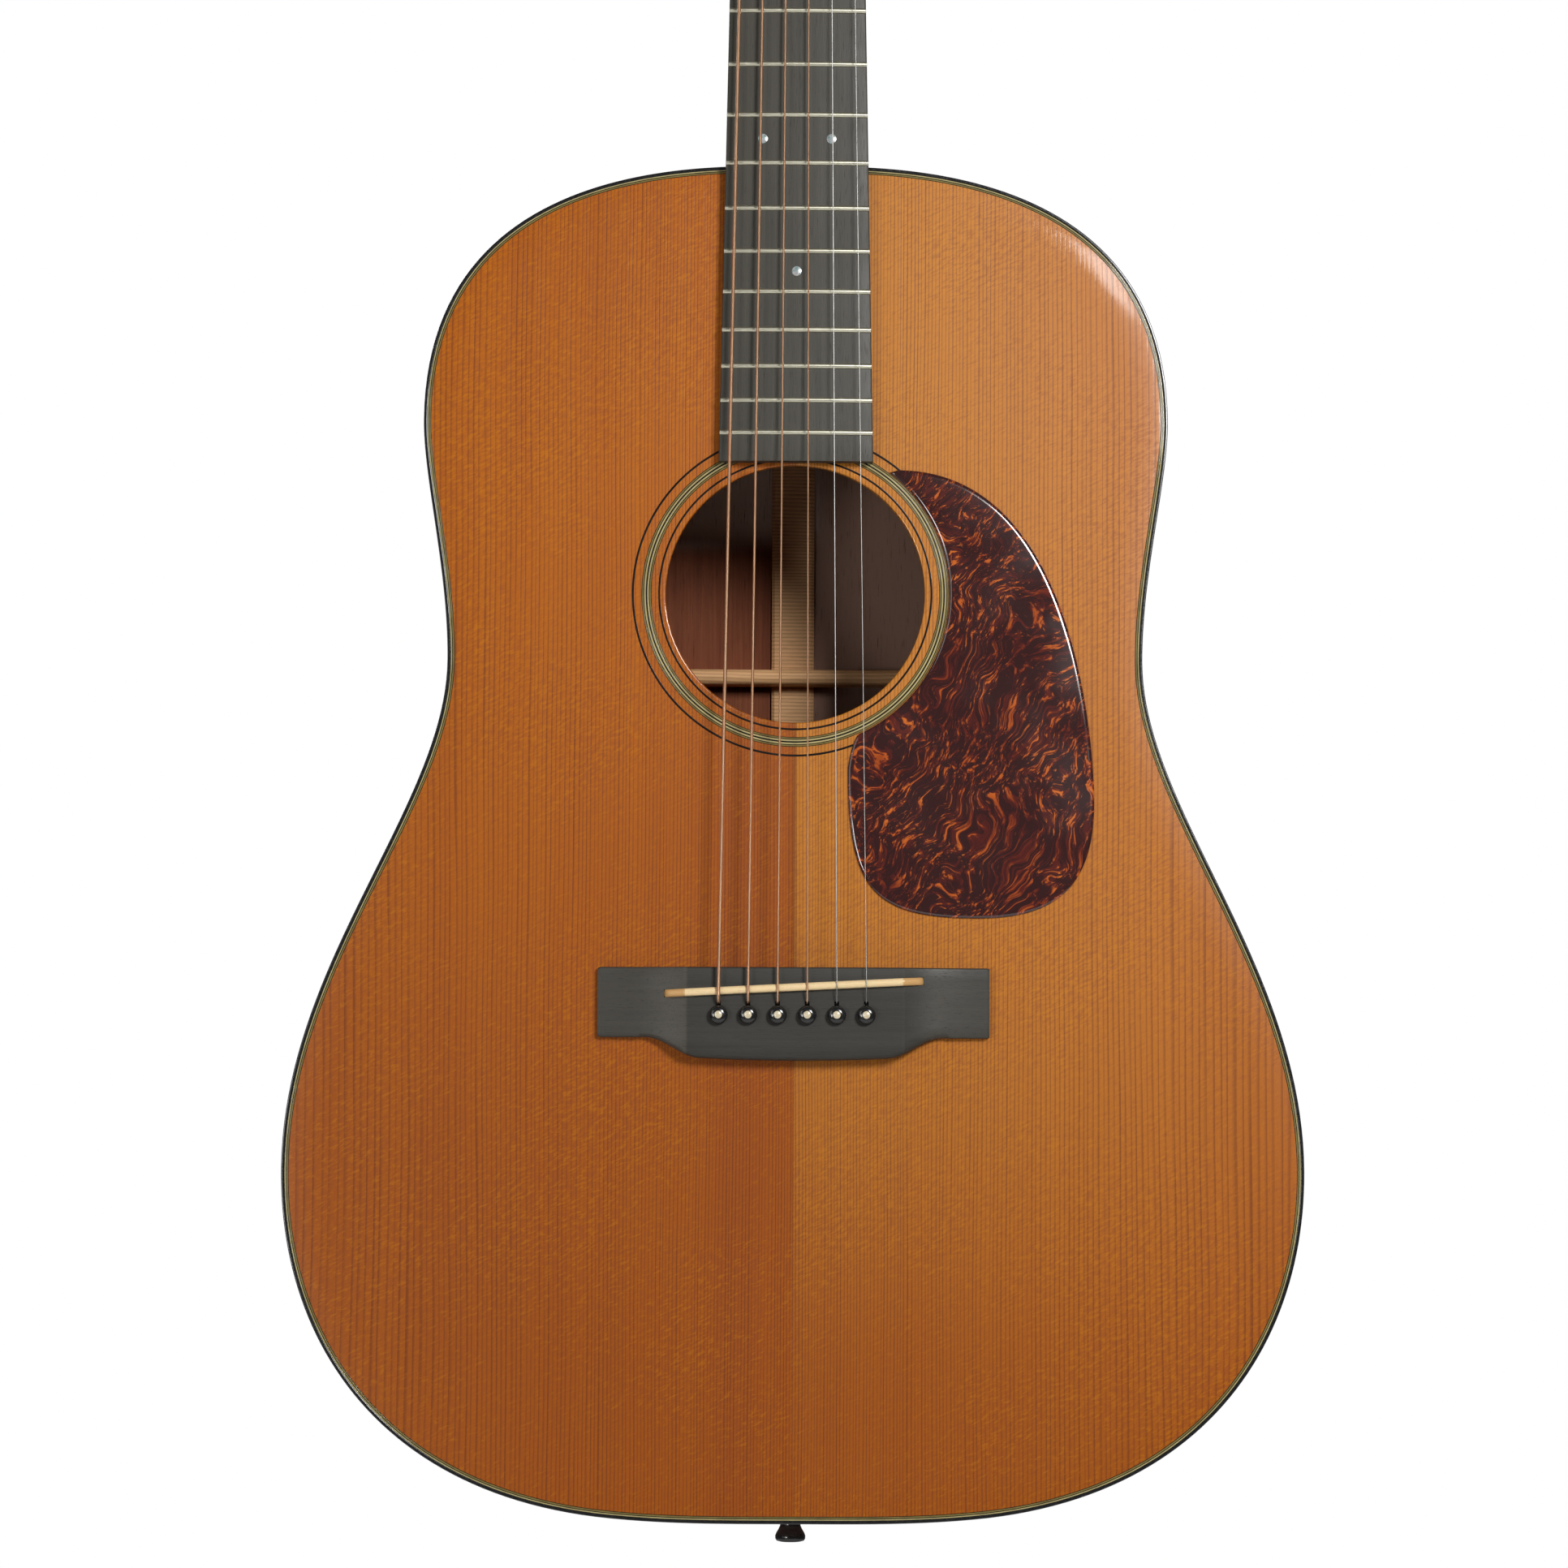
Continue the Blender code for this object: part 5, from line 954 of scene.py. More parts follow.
# ----------------------------------------------------------- pickguard, bridge
def make_pickguard():
    """A polished guard: concave by the rosette, round by the waist, with a bevelled rim."""
    radius = HOLE_RADIUS + 9.8 * MM
    low_turn, high_turn = math.radians(-65.6), math.radians(52.5)
    arc = []
    for i in range(61):
        t = low_turn + (high_turn - low_turn) * i / 60
        arc.append((radius * math.cos(t), HOLE_AT + radius * math.sin(t)))
    top, low = arc[-1][1] + 1.0 * MM, HOLE_AT - 127.3 * MM
    right, left = 117.3 * MM, 20.8 * MM
    side, turn = HOLE_AT - 81.3 * MM, HOLE_AT - 70.0 * MM
    start = arc[-1][0] + 3.5 * MM
    edge = bezier(((start, top), (115 * MM, top), (right, side + 8 * MM), (right, side)), 60)
    edge += bezier(((right, side), (right, side - 35 * MM), (101 * MM, low), (71 * MM, low)), 36)
    edge += bezier(((71 * MM, low), (31 * MM, low), (left, turn - 47 * MM), (left, turn)), 40)
    edge += bezier(((left, turn), (left, turn + 4 * MM), (23 * MM, turn + 13 * MM), arc[0]), 8)
    loop = arc + [tuple(p) for p in edge]
    stack = [(loop, 0.05 * MM), (loop, 0.45 * MM)]
    for by, level in ((0.12, 0.66), (0.4, 0.9), (0.8, 1.12), (1.3, 1.25), (1.9, 1.3)):
        stack.append((inset(loop, by * MM), level * MM))
    plate("pickguard_bevelled", [stack], flat, TORTOISE, "tortoise", ["pickguard"])


def bridge_height(x):
    """The bridge's top above the soundboard: slightly crowned in the middle, scooped down to the tips."""
    over = abs(x) - BRIDGE_RAISED
    if over <= 0:
        return BRIDGE_HEIGHT - 0.25 * MM * (x / BRIDGE_RAISED) ** 2
    t = min(over / (BRIDGE_HALF - BRIDGE_RAISED), 1.0)
    return BRIDGE_TIP + (BRIDGE_HEIGHT - 0.25 * MM - BRIDGE_TIP) * (1 - t) ** 2.6


def bridge_rear(x):
    """The bridge's rear edge: a belly that curves forward into the wings."""
    straight, curved = 36 * MM, 22 * MM
    wing, belly = STRING_END_AT - 21.7 * MM, STRING_END_AT - 30.6 * MM
    t = min(max((abs(x) - straight) / curved, 0.0), 1.0)
    return belly + (wing - belly) * t * t * (3 - 2 * t) + 0.9 * MM * min(abs(x) / straight, 1.0) ** 2 * (1 - t)


def pin_places():
    """Six pins 11.46 mm apart, their middle 0.6 mm towards the bass side."""
    return [-0.6 * MM + (i - 2.5) * 11.46 * MM for i in range(6)]


def saddle_line(share):
    """A point on the saddle's slanting line, from its bass end, at 0, to its treble end, at 1."""
    x = (share - 0.5) * SADDLE_LENGTH
    return Vector((x, STRING_END_AT - 4.8 * MM + 5.2 * MM * share))


def make_bridge():
    """An ebony belly bridge: scooped wings, eased edges, saddle slot and six pin holes."""
    front, eased_by, foot = STRING_END_AT + 5.6 * MM, 0.9 * MM, 0.05 * MM
    half = [BRIDGE_RAISED * k / 24 for k in range(25)]
    half += [BRIDGE_RAISED + (BRIDGE_HALF - BRIDGE_RAISED) * k / 36 for k in range(1, 37)]
    stations = [-x for x in reversed(half[1:])] + half
    rings = []
    for x in stations:
        end = 0.35 * MM if abs(x) == BRIDGE_HALF else 0.0
        top, rear = bridge_height(x) - end, bridge_rear(x) + end
        ring = [(front - end, foot), (front - end, top - eased_by)]
        ring += [(front - end - eased_by * inward, top - eased_by * below) for inward, below in quarter(3, 1)]
        ring += [(front + (rear - front) * i / 6, top) for i in range(1, 6)]
        soft = 2.2 * MM if abs(x) < 60 * MM else eased_by
        ring += [(rear + soft * inward, top - soft * below) for inward, below in reversed(quarter(4))]
        ring.append((rear, foot))
        rings.append([flat(x, b, level) for b, level in ring])
    bm = bmesh.new()
    loft(bm, rings)
    made = loose("bridge_belly", bm)
    a, b = saddle_line(0), saddle_line(1)
    along = (b - a).normalized()
    across = Vector((-along.y, along.x)) * 1.55 * MM
    bm = bmesh.new()
    box = [tuple(p) for p in (a - across, b - across, b + across, a + across)]
    slab(bm, [[(box, 3.6 * MM), (box, 16 * MM)]], flat)
    cut_away(made, bm)
    bm = bmesh.new()
    r, slot_half, slot_end = 2.85 * MM, 0.9 * MM, PIN_AT + 5.2 * MM
    notch = math.asin(slot_half / r)
    for x in pin_places():
        hole = []
        for i in range(33):
            t = math.pi / 2 + notch + (2 * math.pi - 2 * notch) * i / 32
            hole.append((x + r * math.cos(t), PIN_AT + r * math.sin(t)))
        hole += [(x + slot_half, slot_end), (x - slot_half, slot_end)]
        slab(bm, [[(hole, -2 * MM), (hole, 14 * MM)]], flat)
    cut_away(made, bm)
    settle_cut(made, EBONY_BRIDGE, 17, "ebony", ["bridge"])


def make_saddle():
    """Bone saddle, rounded along its crown and lowered at its ends."""
    a, b = saddle_line(0), saddle_line(1)
    along = (b - a).normalized()
    across = Vector((-along.y, along.x))
    half, corner, count = 1.5 * MM, 2.2 * MM, 129
    level_until, lowered_over = 0.845, 0.155
    rings = []
    for k in range(count + 1):
        share = k / count
        at = a + (b - a) * share
        to_end = min(share, 1 - share) * SADDLE_LENGTH
        ends = math.sqrt(max(1 - (1 - min(to_end / corner, 1.0)) ** 2, 0.02))
        crown = 0.5 * MM * (1 - (2 * share - 1) ** 2)
        crown -= 3.4 * MM * min(max(0.0, abs(2 * share - 1) - level_until) / lowered_over, 1.0)
        top = SADDLE_TOP - 0.55 * MM + crown - 2.0 * MM * (1 - ends)
        ring = [(-half, 4 * MM), (half, 4 * MM)]
        for i in range(7):
            t = math.pi * i / 6
            ring.append((half * math.cos(t), top - half * 0.8 + half * 0.8 * math.sin(t)))
        rings.append([flat(*(at + across * w), level) for w, level in ring])
    lofted("saddle_crowned", rings, BONE, "bone", ["saddle"])


def make_bridge_pins():
    """Black pins with a collar, a domed head and a cream dot."""
    base, dot = BRIDGE_HEIGHT + 0.25 * MM, 1.52 * MM
    profile = [(0, base + 3.42 * MM), (1.45 * MM, base + 3.38 * MM), (dot, base + 3.3 * MM)]
    for i in range(1, 9):
        t = math.pi / 2 * i / 8
        profile.append((dot + (PIN_HEAD - dot) * math.sin(t), base + 1.0 * MM + 2.28 * MM * math.cos(t)))
    profile += [
        (PIN_HEAD, base + 0.6 * MM), (PIN_HEAD - 0.25 * MM, base + 0.2 * MM), (PIN_HEAD - 0.9 * MM, base),
        (2.6 * MM, base - 0.1 * MM), (2.5 * MM, base - 1.5 * MM), (1.9 * MM, base - 18 * MM),
        (0, base - 19 * MM),
    ]
    for number, x in enumerate(pin_places(), 1):

        def place(a, b, along, x=x):
            return flat(x + a, PIN_AT + b, along)

        bm = bmesh.new()
        turned(bm, profile, place, 36, finish=lambda band: 1 if band == 0 else 0)
        name = f"bridge_pin_{number}"
        piece(name + "_turned", bm, [BLACK, CREAM_DOT], "black_plastic", [name], smooth=50)


def make_end_pin():
    """The strap button at the tail, turned in one with its tapered shank."""
    rows = [(0, 0), (4.4, 0.05), (5.5, 0.35), (6.0, 1.1), (6.05, 2.3), (5.6, 3.5), (4.8, 4.8), (4.15, 6.2),
            (4.0, 7.2), (4.2, 8.4), (5.0, 9.6), (6.1, 10.6), (6.5, 11.3), (6.5, 12.7),
            (4.0, 12.75), (3.7, 29.5), (0, 30)]
    bm = bmesh.new()
    turned(bm, [(r * MM, z * MM) for r, z in rows], lambda a, b, z: Vector((a, b, z)), 48)
    piece("end_pin_turned", bm, BLACK, "black_plastic", ["end_pin"], smooth=40)


# --------------------------------------------------- fingerboard, frets, dots
def board_half(from_nut):
    """Half the board's width at a distance from the nut."""
    return (NUT_WIDTH + (BODY_FRET_WIDTH - NUT_WIDTH) * from_nut / (SCALE / 2)) / 2


def fret_at(number):
    """How far a fret is from the nut."""
    return SCALE * (1 - 2 ** (-number / 12))


def camber(x):
    """How far the board's top falls away to its sides."""
    return -x * x / (2 * BOARD_RADIUS)


BOARD_LENGTH = fret_at(FRETS) + 11.2 * MM


def make_fingerboard():
    """A long board, cambered across, with eased edges."""
    eased_by, foot, count = 0.7 * MM, 0.05 * MM, 120
    rings = []
    for k in range(count + 1):
        s = BOARD_LENGTH * k / count
        half = board_half(s)
        end = 0.4 * MM if k == count else 0.0
        edge = BOARD_TOP + camber(half)
        ring = [(-half, foot), (half, foot), (half, edge - eased_by)]
        ring += [(half - eased_by * inward, edge - eased_by * below) for inward, below in quarter(4, 1)[:3]]
        for i in range(11):
            x = (half - eased_by) * (1 - 2 * i / 10)
            ring.append((x, BOARD_TOP + camber(x)))
        ring += [(-x, level) for x, level in reversed(ring[2:6])]
        z = NUT_FACE_Z - s
        rings.append([Vector((x, TOP_Y - level + (end if level > 1 * MM else 0), z)) for x, level in ring])
    lofted("fingerboard_cambered", rings, EBONY_BOARD, "ebony", ["fingerboard"])


def fret_tree():
    """One crowned fret on each point, as wide as the point's own half width, bent to the board's camber."""
    t = PieceTree("fret_row", Crown_Width="Float", Crown_Height="Float", Camber_Radius="Float")
    wire = t.node("GeometryNodeCurvePrimitiveLine", {"Start": (-1, 0, 0), "End": (1, 0, 0)})
    wire = t.node("GeometryNodeResampleCurve", {"Curve": wire, "Count": 25})
    crown = t.node("GeometryNodeCurvePrimitiveCircle", {"Resolution": 20, "Radius": 1.0})
    half_crown = t.calc("MULTIPLY", t.given["Crown Width"], 0.5)
    oval = t.node("ShaderNodeCombineXYZ", {0: half_crown, 1: t.given["Crown Height"], 2: 1.0})
    crown = t.node("GeometryNodeTransform", {"Geometry": crown, "Scale": oval})
    bar = t.node("GeometryNodeCurveToMesh", {"Curve": wire, "Profile Curve": crown, "Fill Caps": True})
    wide = t.node("GeometryNodeInputNamedAttribute", {"Name": "half_width"}, data_type="FLOAT").outputs[0]
    grow = t.node("ShaderNodeCombineXYZ", {0: wide, 1: 1.0, 2: 1.0})
    frets = {"Points": t.given["Geometry"], "Instance": bar, "Scale": grow}

    def bend_to_board(real):
        x = t.node("ShaderNodeSeparateXYZ", {"Vector": t.node("GeometryNodeInputPosition")}).outputs[0]
        double = t.calc("MULTIPLY", t.given["Camber Radius"], 2.0)
        sag = t.calc("DIVIDE", t.calc("MULTIPLY", x, x), double)
        drop = t.node("ShaderNodeCombineXYZ", {1: sag})
        return t.node("GeometryNodeSetPosition", {"Geometry": real, "Offset": drop})

    return t.end(t.node("GeometryNodeInstanceOnPoints", frets), after=bend_to_board)


def make_frets():
    """All the fret wires, each a little shorter than the board is wide there."""
    mesh = bpy.data.meshes.new("fret_wires")
    places = [(fret_at(n), board_half(fret_at(n)) - 0.15 * MM) for n in range(1, FRETS + 1)]
    mesh.from_pydata([(0, TOP_Y - BOARD_TOP + 0.05 * MM, NUT_FACE_Z - s) for s, _ in places], [], [])
    wide = mesh.attributes.new("half_width", "FLOAT", "POINT")
    wide.data.foreach_set("value", [half for _, half in places])
    crown = {"Crown_Width": 2.1 * MM, "Crown_Height": 1.05 * MM, "Camber_Radius": BOARD_RADIUS}
    settle(fret_tree().grow("fret_wires", mesh, 50, Finish=FRET_WIRE, **crown), "ebony")


def make_dots():
    """Pearl dots let into the board, one for each marked fret and two at the twelfth."""
    bm = bmesh.new()
    pair = 13.5 * MM
    marks = [(5, 0.0), (7, 0.0), (9, 0.0), (12, -pair), (12, pair), (15, 0.0)]
    for number, x in marks:
        s = (fret_at(number) + fret_at(number - 1)) / 2
        ring = circle(1.9 * MM, 40, (x, NUT_FACE_Z - s - TAIL))
        stack = [(ring, BOARD_TOP - 1 * MM + camber(x)), (ring, BOARD_TOP + 0.02 * MM + camber(x)),
                 (inset(ring, 0.06 * MM), BOARD_TOP + 0.05 * MM + camber(x))]
        slab(bm, [stack], flat)
    piece("board_dots", bm, PEARL, "ebony")


# --------------------------------------------------------------- neck and head
def head_point(x, u, v):
    """On the head: x across, u up from the nut, v back from its face."""
    s, c = math.sin(HEAD_TILT), math.cos(HEAD_TILT)
    return Vector((x, TOP_Y + u * s + v * c, HEAD_Z + u * c - v * s))


def head_half(u):
    """Half the head's width: it flares from the nut, runs straight, and rounds over to a narrower top."""
    start = NUT_WIDTH / 2
    if u < HEAD_FLARE:
        t = u / HEAD_FLARE
        return start + (HEAD_HALF - start) * t * t * (3 - 2 * t)
    if u > HEAD_LENGTH - HEAD_CROWN:
        t = (u - HEAD_LENGTH + HEAD_CROWN) / HEAD_CROWN
        return HEAD_HALF * (0.42 + 0.58 * math.sqrt(max(1 - t * t, 0)))
    return HEAD_HALF


def neck_ring(a, b, depth, place):
    """A half round below the face: a is half its width there, b is half the width of the flat at depth."""
    turns = [math.pi / 2 * i / 12 for i in range(13)]
    right = [(b + (a - b) * math.cos(t), depth * math.sin(t)) for t in turns]
    return [place(x, d) for x, d in right] + [place(-x, d) for x, d in reversed(right)]


def slot_outline(sign, grow=0.0):
    """One of the head's two slots, round at both ends; grow widens it."""
    middle, r = 16 * MM, 7 * MM + grow
    points = []
    for end, start in ((150 * MM + grow - r, 0), (24 * MM - grow + r, math.pi)):
        for i in range(25):
            t = start + math.pi * i / 24
            points.append((sign * (middle + r * math.cos(t)), end + r * math.sin(t)))
    return points


def head_stations():
    low = [HEAD_FLARE * k / 14 for k in range(14)]
    high = [HEAD_LENGTH - HEAD_CROWN * (1 - math.sin(math.pi / 2 * k / 16)) for k in range(17)]
    return low + [HEAD_FLARE, 56 * MM, 90 * MM, 125 * MM] + high


def heel_plan():
    """(above the body, half width) of the heel where it ends, from the body's edge outwards."""
    w, k = HEEL_HALF, HEEL_REACH
    return [(0.1 * MM, w), (0.33 * k, 0.95 * w), (0.63 * k, 0.78 * w), (0.85 * k, 0.5 * w), (k, 0.12 * w)]


def make_neck():
    """Neck, heel and slotted head, carved in one: a loft, then the slots and the rollers' bores cut out."""
    heel, ridge, k = DEPTH_NECK - 3 * MM, 0.8 * MM, HEEL_REACH
    plan = [(above, heel, half) for above, half in heel_plan()]
    for above, share in ((3, 0.86), (7, 0.66), (13, 0.48), (21, 0.34), (33, 0.245)):
        plan.append((k + above * MM, heel * share, ridge))
    plan += [(k + 50 * MM, 18.7 * MM, ridge), (k + 75 * MM, 17.5 * MM, ridge),
             (NUT_FACE_Z - BODY_TOP_Z - 14 * MM, 14.5 * MM, ridge)]
    rings = []
    for above, depth, b in eased(plan, 5):
        z = BODY_TOP_Z + above
        a = board_half(NUT_FACE_Z - z)
        depth, b = min(depth, heel), max(b, ridge)
        rings.append(neck_ring(a, b, depth, lambda x, d, z=z: Vector((x, TOP_Y + d, z))))
    for u in head_stations():
        a = head_half(u)
        b = ridge + (a - 2 * ridge) * min(u / (20 * MM), 1.0)
        rings.append(neck_ring(a, b, HEAD_THICK, lambda x, d, u=u: head_point(x, u, d)))
    bm = bmesh.new()
    loft(bm, rings)
    made = loose("neck_carved", bm)
    bm = bmesh.new()
    rear = HEAD_THICK
    for sign in (-1, 1):
        slot, wide = slot_outline(sign), slot_outline(sign, SLOT_EASE)
        stack = [(slot, -4 * MM), (slot, rear - SLOT_EASE), (wide, rear), (wide, rear + 3 * MM)]
        slab(bm, [stack], head_point)
    cut_away(made, bm)
    bm = bmesh.new()
    r, inner, outer = 3.45 * MM, 5.5 * MM, 40 * MM
    for sign in (-1, 1):
        for u in POSTS:
            turned(bm, [(0, inner), (r, inner), (r, outer), (0, outer)],
                   lambda a, b, x, u=u, sign=sign: head_point(sign * x, u + a, TUNER_V + b), 32)
    cut_away(made, bm)
    settle_cut(made, MAHOGANY, 32, "mahogany", ["neck"])


def make_heel_cap():
    """The black cap on the end of the heel, level with the back."""
    right = [(b, z) for z, b in eased(heel_plan(), 5)]
    loop = right + [(-x, z) for x, z in reversed(right)]
    stack = [(loop, DEPTH_NECK - 2.9 * MM), (loop, DEPTH_NECK - 0.6 * MM),
             (inset(loop, 0.2 * MM), DEPTH_NECK - 0.2 * MM), (inset(loop, 0.6 * MM), DEPTH_NECK)]

    def place(a, b, level):
        return Vector((a, TOP_Y + level, BODY_TOP_Z + b))

    plate("heel_cap_eased", [stack], place, BLACK, "black_plastic", ["heel_cap"])


def make_head_veneer():
    """The ebony face of the head, with its rim and slots eased."""
    right = [(head_half(u), max(u, 0.6 * MM)) for u in head_stations()]
    loop = right + [(-x, u) for x, u in reversed(right)]
    foot, high = 0.05 * MM, 2.3 * MM
    stacks = [[(loop, foot), (loop, high - 0.5 * MM), (inset(loop, 0.15 * MM), high - 0.15 * MM),
               (inset(loop, 0.5 * MM), high)]]
    for sign in (-1, 1):
        slot = slot_outline(sign)
        near, wide = slot_outline(sign, 0.25 * MM), slot_outline(sign, SLOT_EASE)
        stacks.append([(slot, foot), (slot, high - SLOT_EASE), (near, high - 0.25 * MM), (wide, high)])

    def place(a, b, level):
        return head_point(a, b, -level)

    plate("head_veneer_eased", stacks, place, EBONY_VENEER, "ebony", ["head_veneer"])


def string_x_at_nut(number):
    """Six strings spread over 38 mm."""
    return (number - 3.5) / 5 * 38 * MM


def string_level_at_nut(number):
    """The string's middle, over a fret's height and 0.45 mm more."""
    return BOARD_TOP + 1.1 * MM + 0.45 * MM + STRING_RADII[number - 1]


def make_nut():
    """Bone nut, rounded over towards the head, with a filed slot for each string."""
    half, top, foot = NUT_WIDTH / 2, BOARD_TOP + 2.9 * MM, 0.1 * MM
    low, high = NUT_FACE_Z + 0.1 * MM, HEAD_Z - 0.1 * MM
    side = [(low, foot), (low, top - 0.4 * MM), (low + 0.3 * MM, top)]
    for i in range(9):
        t = math.pi / 2 * i / 8
        side.append((high - 2.6 * MM + 2.6 * MM * math.sin(t), top - 2.2 * MM * (1 - math.cos(t))))
    side.append((high, foot))
    ends = [(-half, 0.35 * MM), (-half + 0.12 * MM, 0.12 * MM), (-half + 0.4 * MM, 0.0)]
    ends += [(-x, by) for x, by in reversed(ends)]
    rings = [[Vector((x, TOP_Y - level, z)) for z, level in inset(side, by)] for x, by in ends]
    bm = bmesh.new()
    loft(bm, rings)
    made = loose("nut_filed", bm)
    bm = bmesh.new()
    turns = [math.pi + math.pi * i / 10 for i in range(11)]
    for number in range(1, 7):
        x, level = string_x_at_nut(number), string_level_at_nut(number)
        r = STRING_RADII[number - 1] + 0.12 * MM
        shape = [(x + r * math.cos(t), level + r * math.sin(t)) for t in turns]
        shape += [(x + r, top + 2 * MM), (x - r, top + 2 * MM)]
        slab(bm, [[(shape, low - 2 * MM), (shape, high + 2 * MM)]], lambda a, b, z: Vector((a, TOP_Y - b, z)))
    cut_away(made, bm)
    settle_cut(made, BONE, 35, "bone", ["nut"])


# ---------------------------------------------------------------------- strings
def tuner_of(number):
    """The side and the post, counted up from the nut, that a string goes to."""
    return (-1, number - 1) if number <= 3 else (1, 6 - number)


def wire_of(number):
    """The finish and slot of a string: four are wound, two are plain."""
    return (BRONZE, "bronze_wound") if number <= 4 else (STEEL, "plain_steel")


def wire(bm, points, radius, sides=12):
    """A round wire along a path; each ring stores how far along it lies."""
    store = bm.verts.layers.float.get("along") or bm.verts.layers.float.new("along")
    side = None
    rows, total = [], 0.0
    for i, point in enumerate(points):
        along = (points[min(i + 1, len(points) - 1)] - points[max(i - 1, 0)]).normalized()
        if side is None:
            side = along.cross(Vector((0.3, 1, 0.1))).normalized()
        side = (side - side.dot(along) * along).normalized()
        up = along.cross(side)
        total += (point - points[i - 1]).length if i else 0.0
        row = []
        for k in range(sides):
            t = 2 * math.pi * k / sides
            v = bm.verts.new(point + radius * (math.cos(t) * side + math.sin(t) * up))
            v[store] = total
            row.append(v)
        rows.append(row)
    for near, far in zip(rows, rows[1:]):
        join_rows(bm, near, far)
    bm.faces.new(rows[0])
    bm.faces.new(rows[-1][::-1])


def bend(points, radius, steps=5):
    """A path whose corners are rounded."""
    made = [points[0]]
    for before, here, after in zip(points, points[1:], points[2:]):
        a, b = (before - here), (after - here)
        cut = min(radius, a.length * 0.4, b.length * 0.4)
        start, end = here + a.normalized() * cut, here + b.normalized() * cut
        for i in range(steps + 1):
            t = i / steps
            made.append((1 - t) ** 2 * start + 2 * t * (1 - t) * here + t * t * end)
    return made + [points[-1]]


def make_strings():
    """Six strings: out of the bridge, over the saddle and nut, and back to the rollers."""
    crown = 11.8 * MM
    for number in range(1, 7):
        r = STRING_RADII[number - 1]
        x_pin = pin_places()[number - 1]
        rest = saddle_line(0.5 + x_pin / SADDLE_LENGTH)
        up = PIN_AT + PIN_HEAD + 0.3 * MM + r
        level, x_nut = string_level_at_nut(number), string_x_at_nut(number)
        sign, post = tuner_of(number)
        over = TUNER_V - WINDING_RADIUS - r
        top = crown + r
        path = [
            flat(x_pin, up, -8 * MM), flat(x_pin, up, BRIDGE_HEIGHT + 0.2 * MM),
            flat(x_pin, up + 0.5 * MM, BRIDGE_HEIGHT + r + 1.1 * MM),
            flat(x_pin, rest.y - 1.2 * MM, top - 0.15 * MM), flat(x_pin, rest.y + 1.2 * MM, top - 0.12 * MM),
            flat(x_nut, NUT_FACE_Z - TAIL, level), flat(x_nut, HEAD_Z - TAIL, level),
            head_point(sign * WINDING_X[post], POSTS[post], over),
        ]
        bm = bmesh.new()
        wire(bm, bend(path, 1.2 * MM), r)
        piece(f"string_{number}_wire", bm, *wire_of(number), [f"string_{number}"], smooth=60)


# ----------------------------------------------------------------------- tuners
def head_frame(x, u, v):
    """A frame whose Z runs back through the head and X up it."""
    s, c = math.sin(HEAD_TILT), math.cos(HEAD_TILT)
    up, back = Vector((0, s, c)), Vector((0, c, -s))
    turn = Matrix((up, back.cross(up), back)).transposed().to_4x4()
    return Matrix.Translation(head_point(x, u, v)) @ turn


def make_plates():
    """A strip with bevelled edge for each side, its six bearing ears, and the screws of both."""
    low, high, half, corner = POSTS[0] - WORM_DROP - 9 * MM, POSTS[-1] + 13 * MM, 7.5 * MM, 4 * MM
    inner, outer, reach = HEAD_HALF + 0.3 * MM, HEAD_HALF + 1.5 * MM, GEAR_X + 3.4 * MM
    ear_half, ear_thick, ear_at = 3.4 * MM, 1.5 * MM, WORM_REACH + 0.6 * MM
    loop = []
    for cu, cv, start in ((high - corner, half - corner, 0), (low + corner, half - corner, 90),
                          (low + corner, -half + corner, 180), (high - corner, -half + corner, 270)):
        for i in range(9):
            t = math.radians(start + 90 * i / 8)
            loop.append((cu + corner * math.cos(t), cv + corner * math.sin(t)))
    stacks = [rim(loop, inner, outer, 0.3 * MM)]
    for u in POSTS:
        hole = circle(3.6 * MM, 32, (u, 0.0))
        stacks.append([(hole, inner), (hole, outer - 0.2 * MM), (inset(hole, -0.2 * MM), outer)])
    for side, sign in (("bass", -1), ("treble", 1)):
        bm = bmesh.new()
        slab(bm, stacks, lambda u, v, x, sign=sign: head_point(sign * x, u, TUNER_V + v))
        for u in POSTS:
            axis = u - WORM_DROP
            ear = [(outer - 0.5 * MM, axis + ear_half), (outer - 0.5 * MM, axis - ear_half)]
            for i in range(13):
                t = -math.pi / 2 + math.pi * i / 12
                ear.append((reach - ear_half + ear_half * math.cos(t), axis + ear_half * math.sin(t)))
            bore = circle(1.9 * MM, 24, (GEAR_X, axis))
            for start in (-ear_at - ear_thick, ear_at):
                stack = rim(ear, start, start + ear_thick, 0.2 * MM, 2, both=True)
                hole = [(bore, start), (bore, start + ear_thick)]
                slab(bm, [stack, hole], lambda x, u, v, sign=sign: head_point(sign * x, u, TUNER_V + v))
        piece(f"tuner_plate_{side}_strip", bm, NICKEL, "nickel", [f"tuner_plate_{side}"])
    make_screws(low, high)


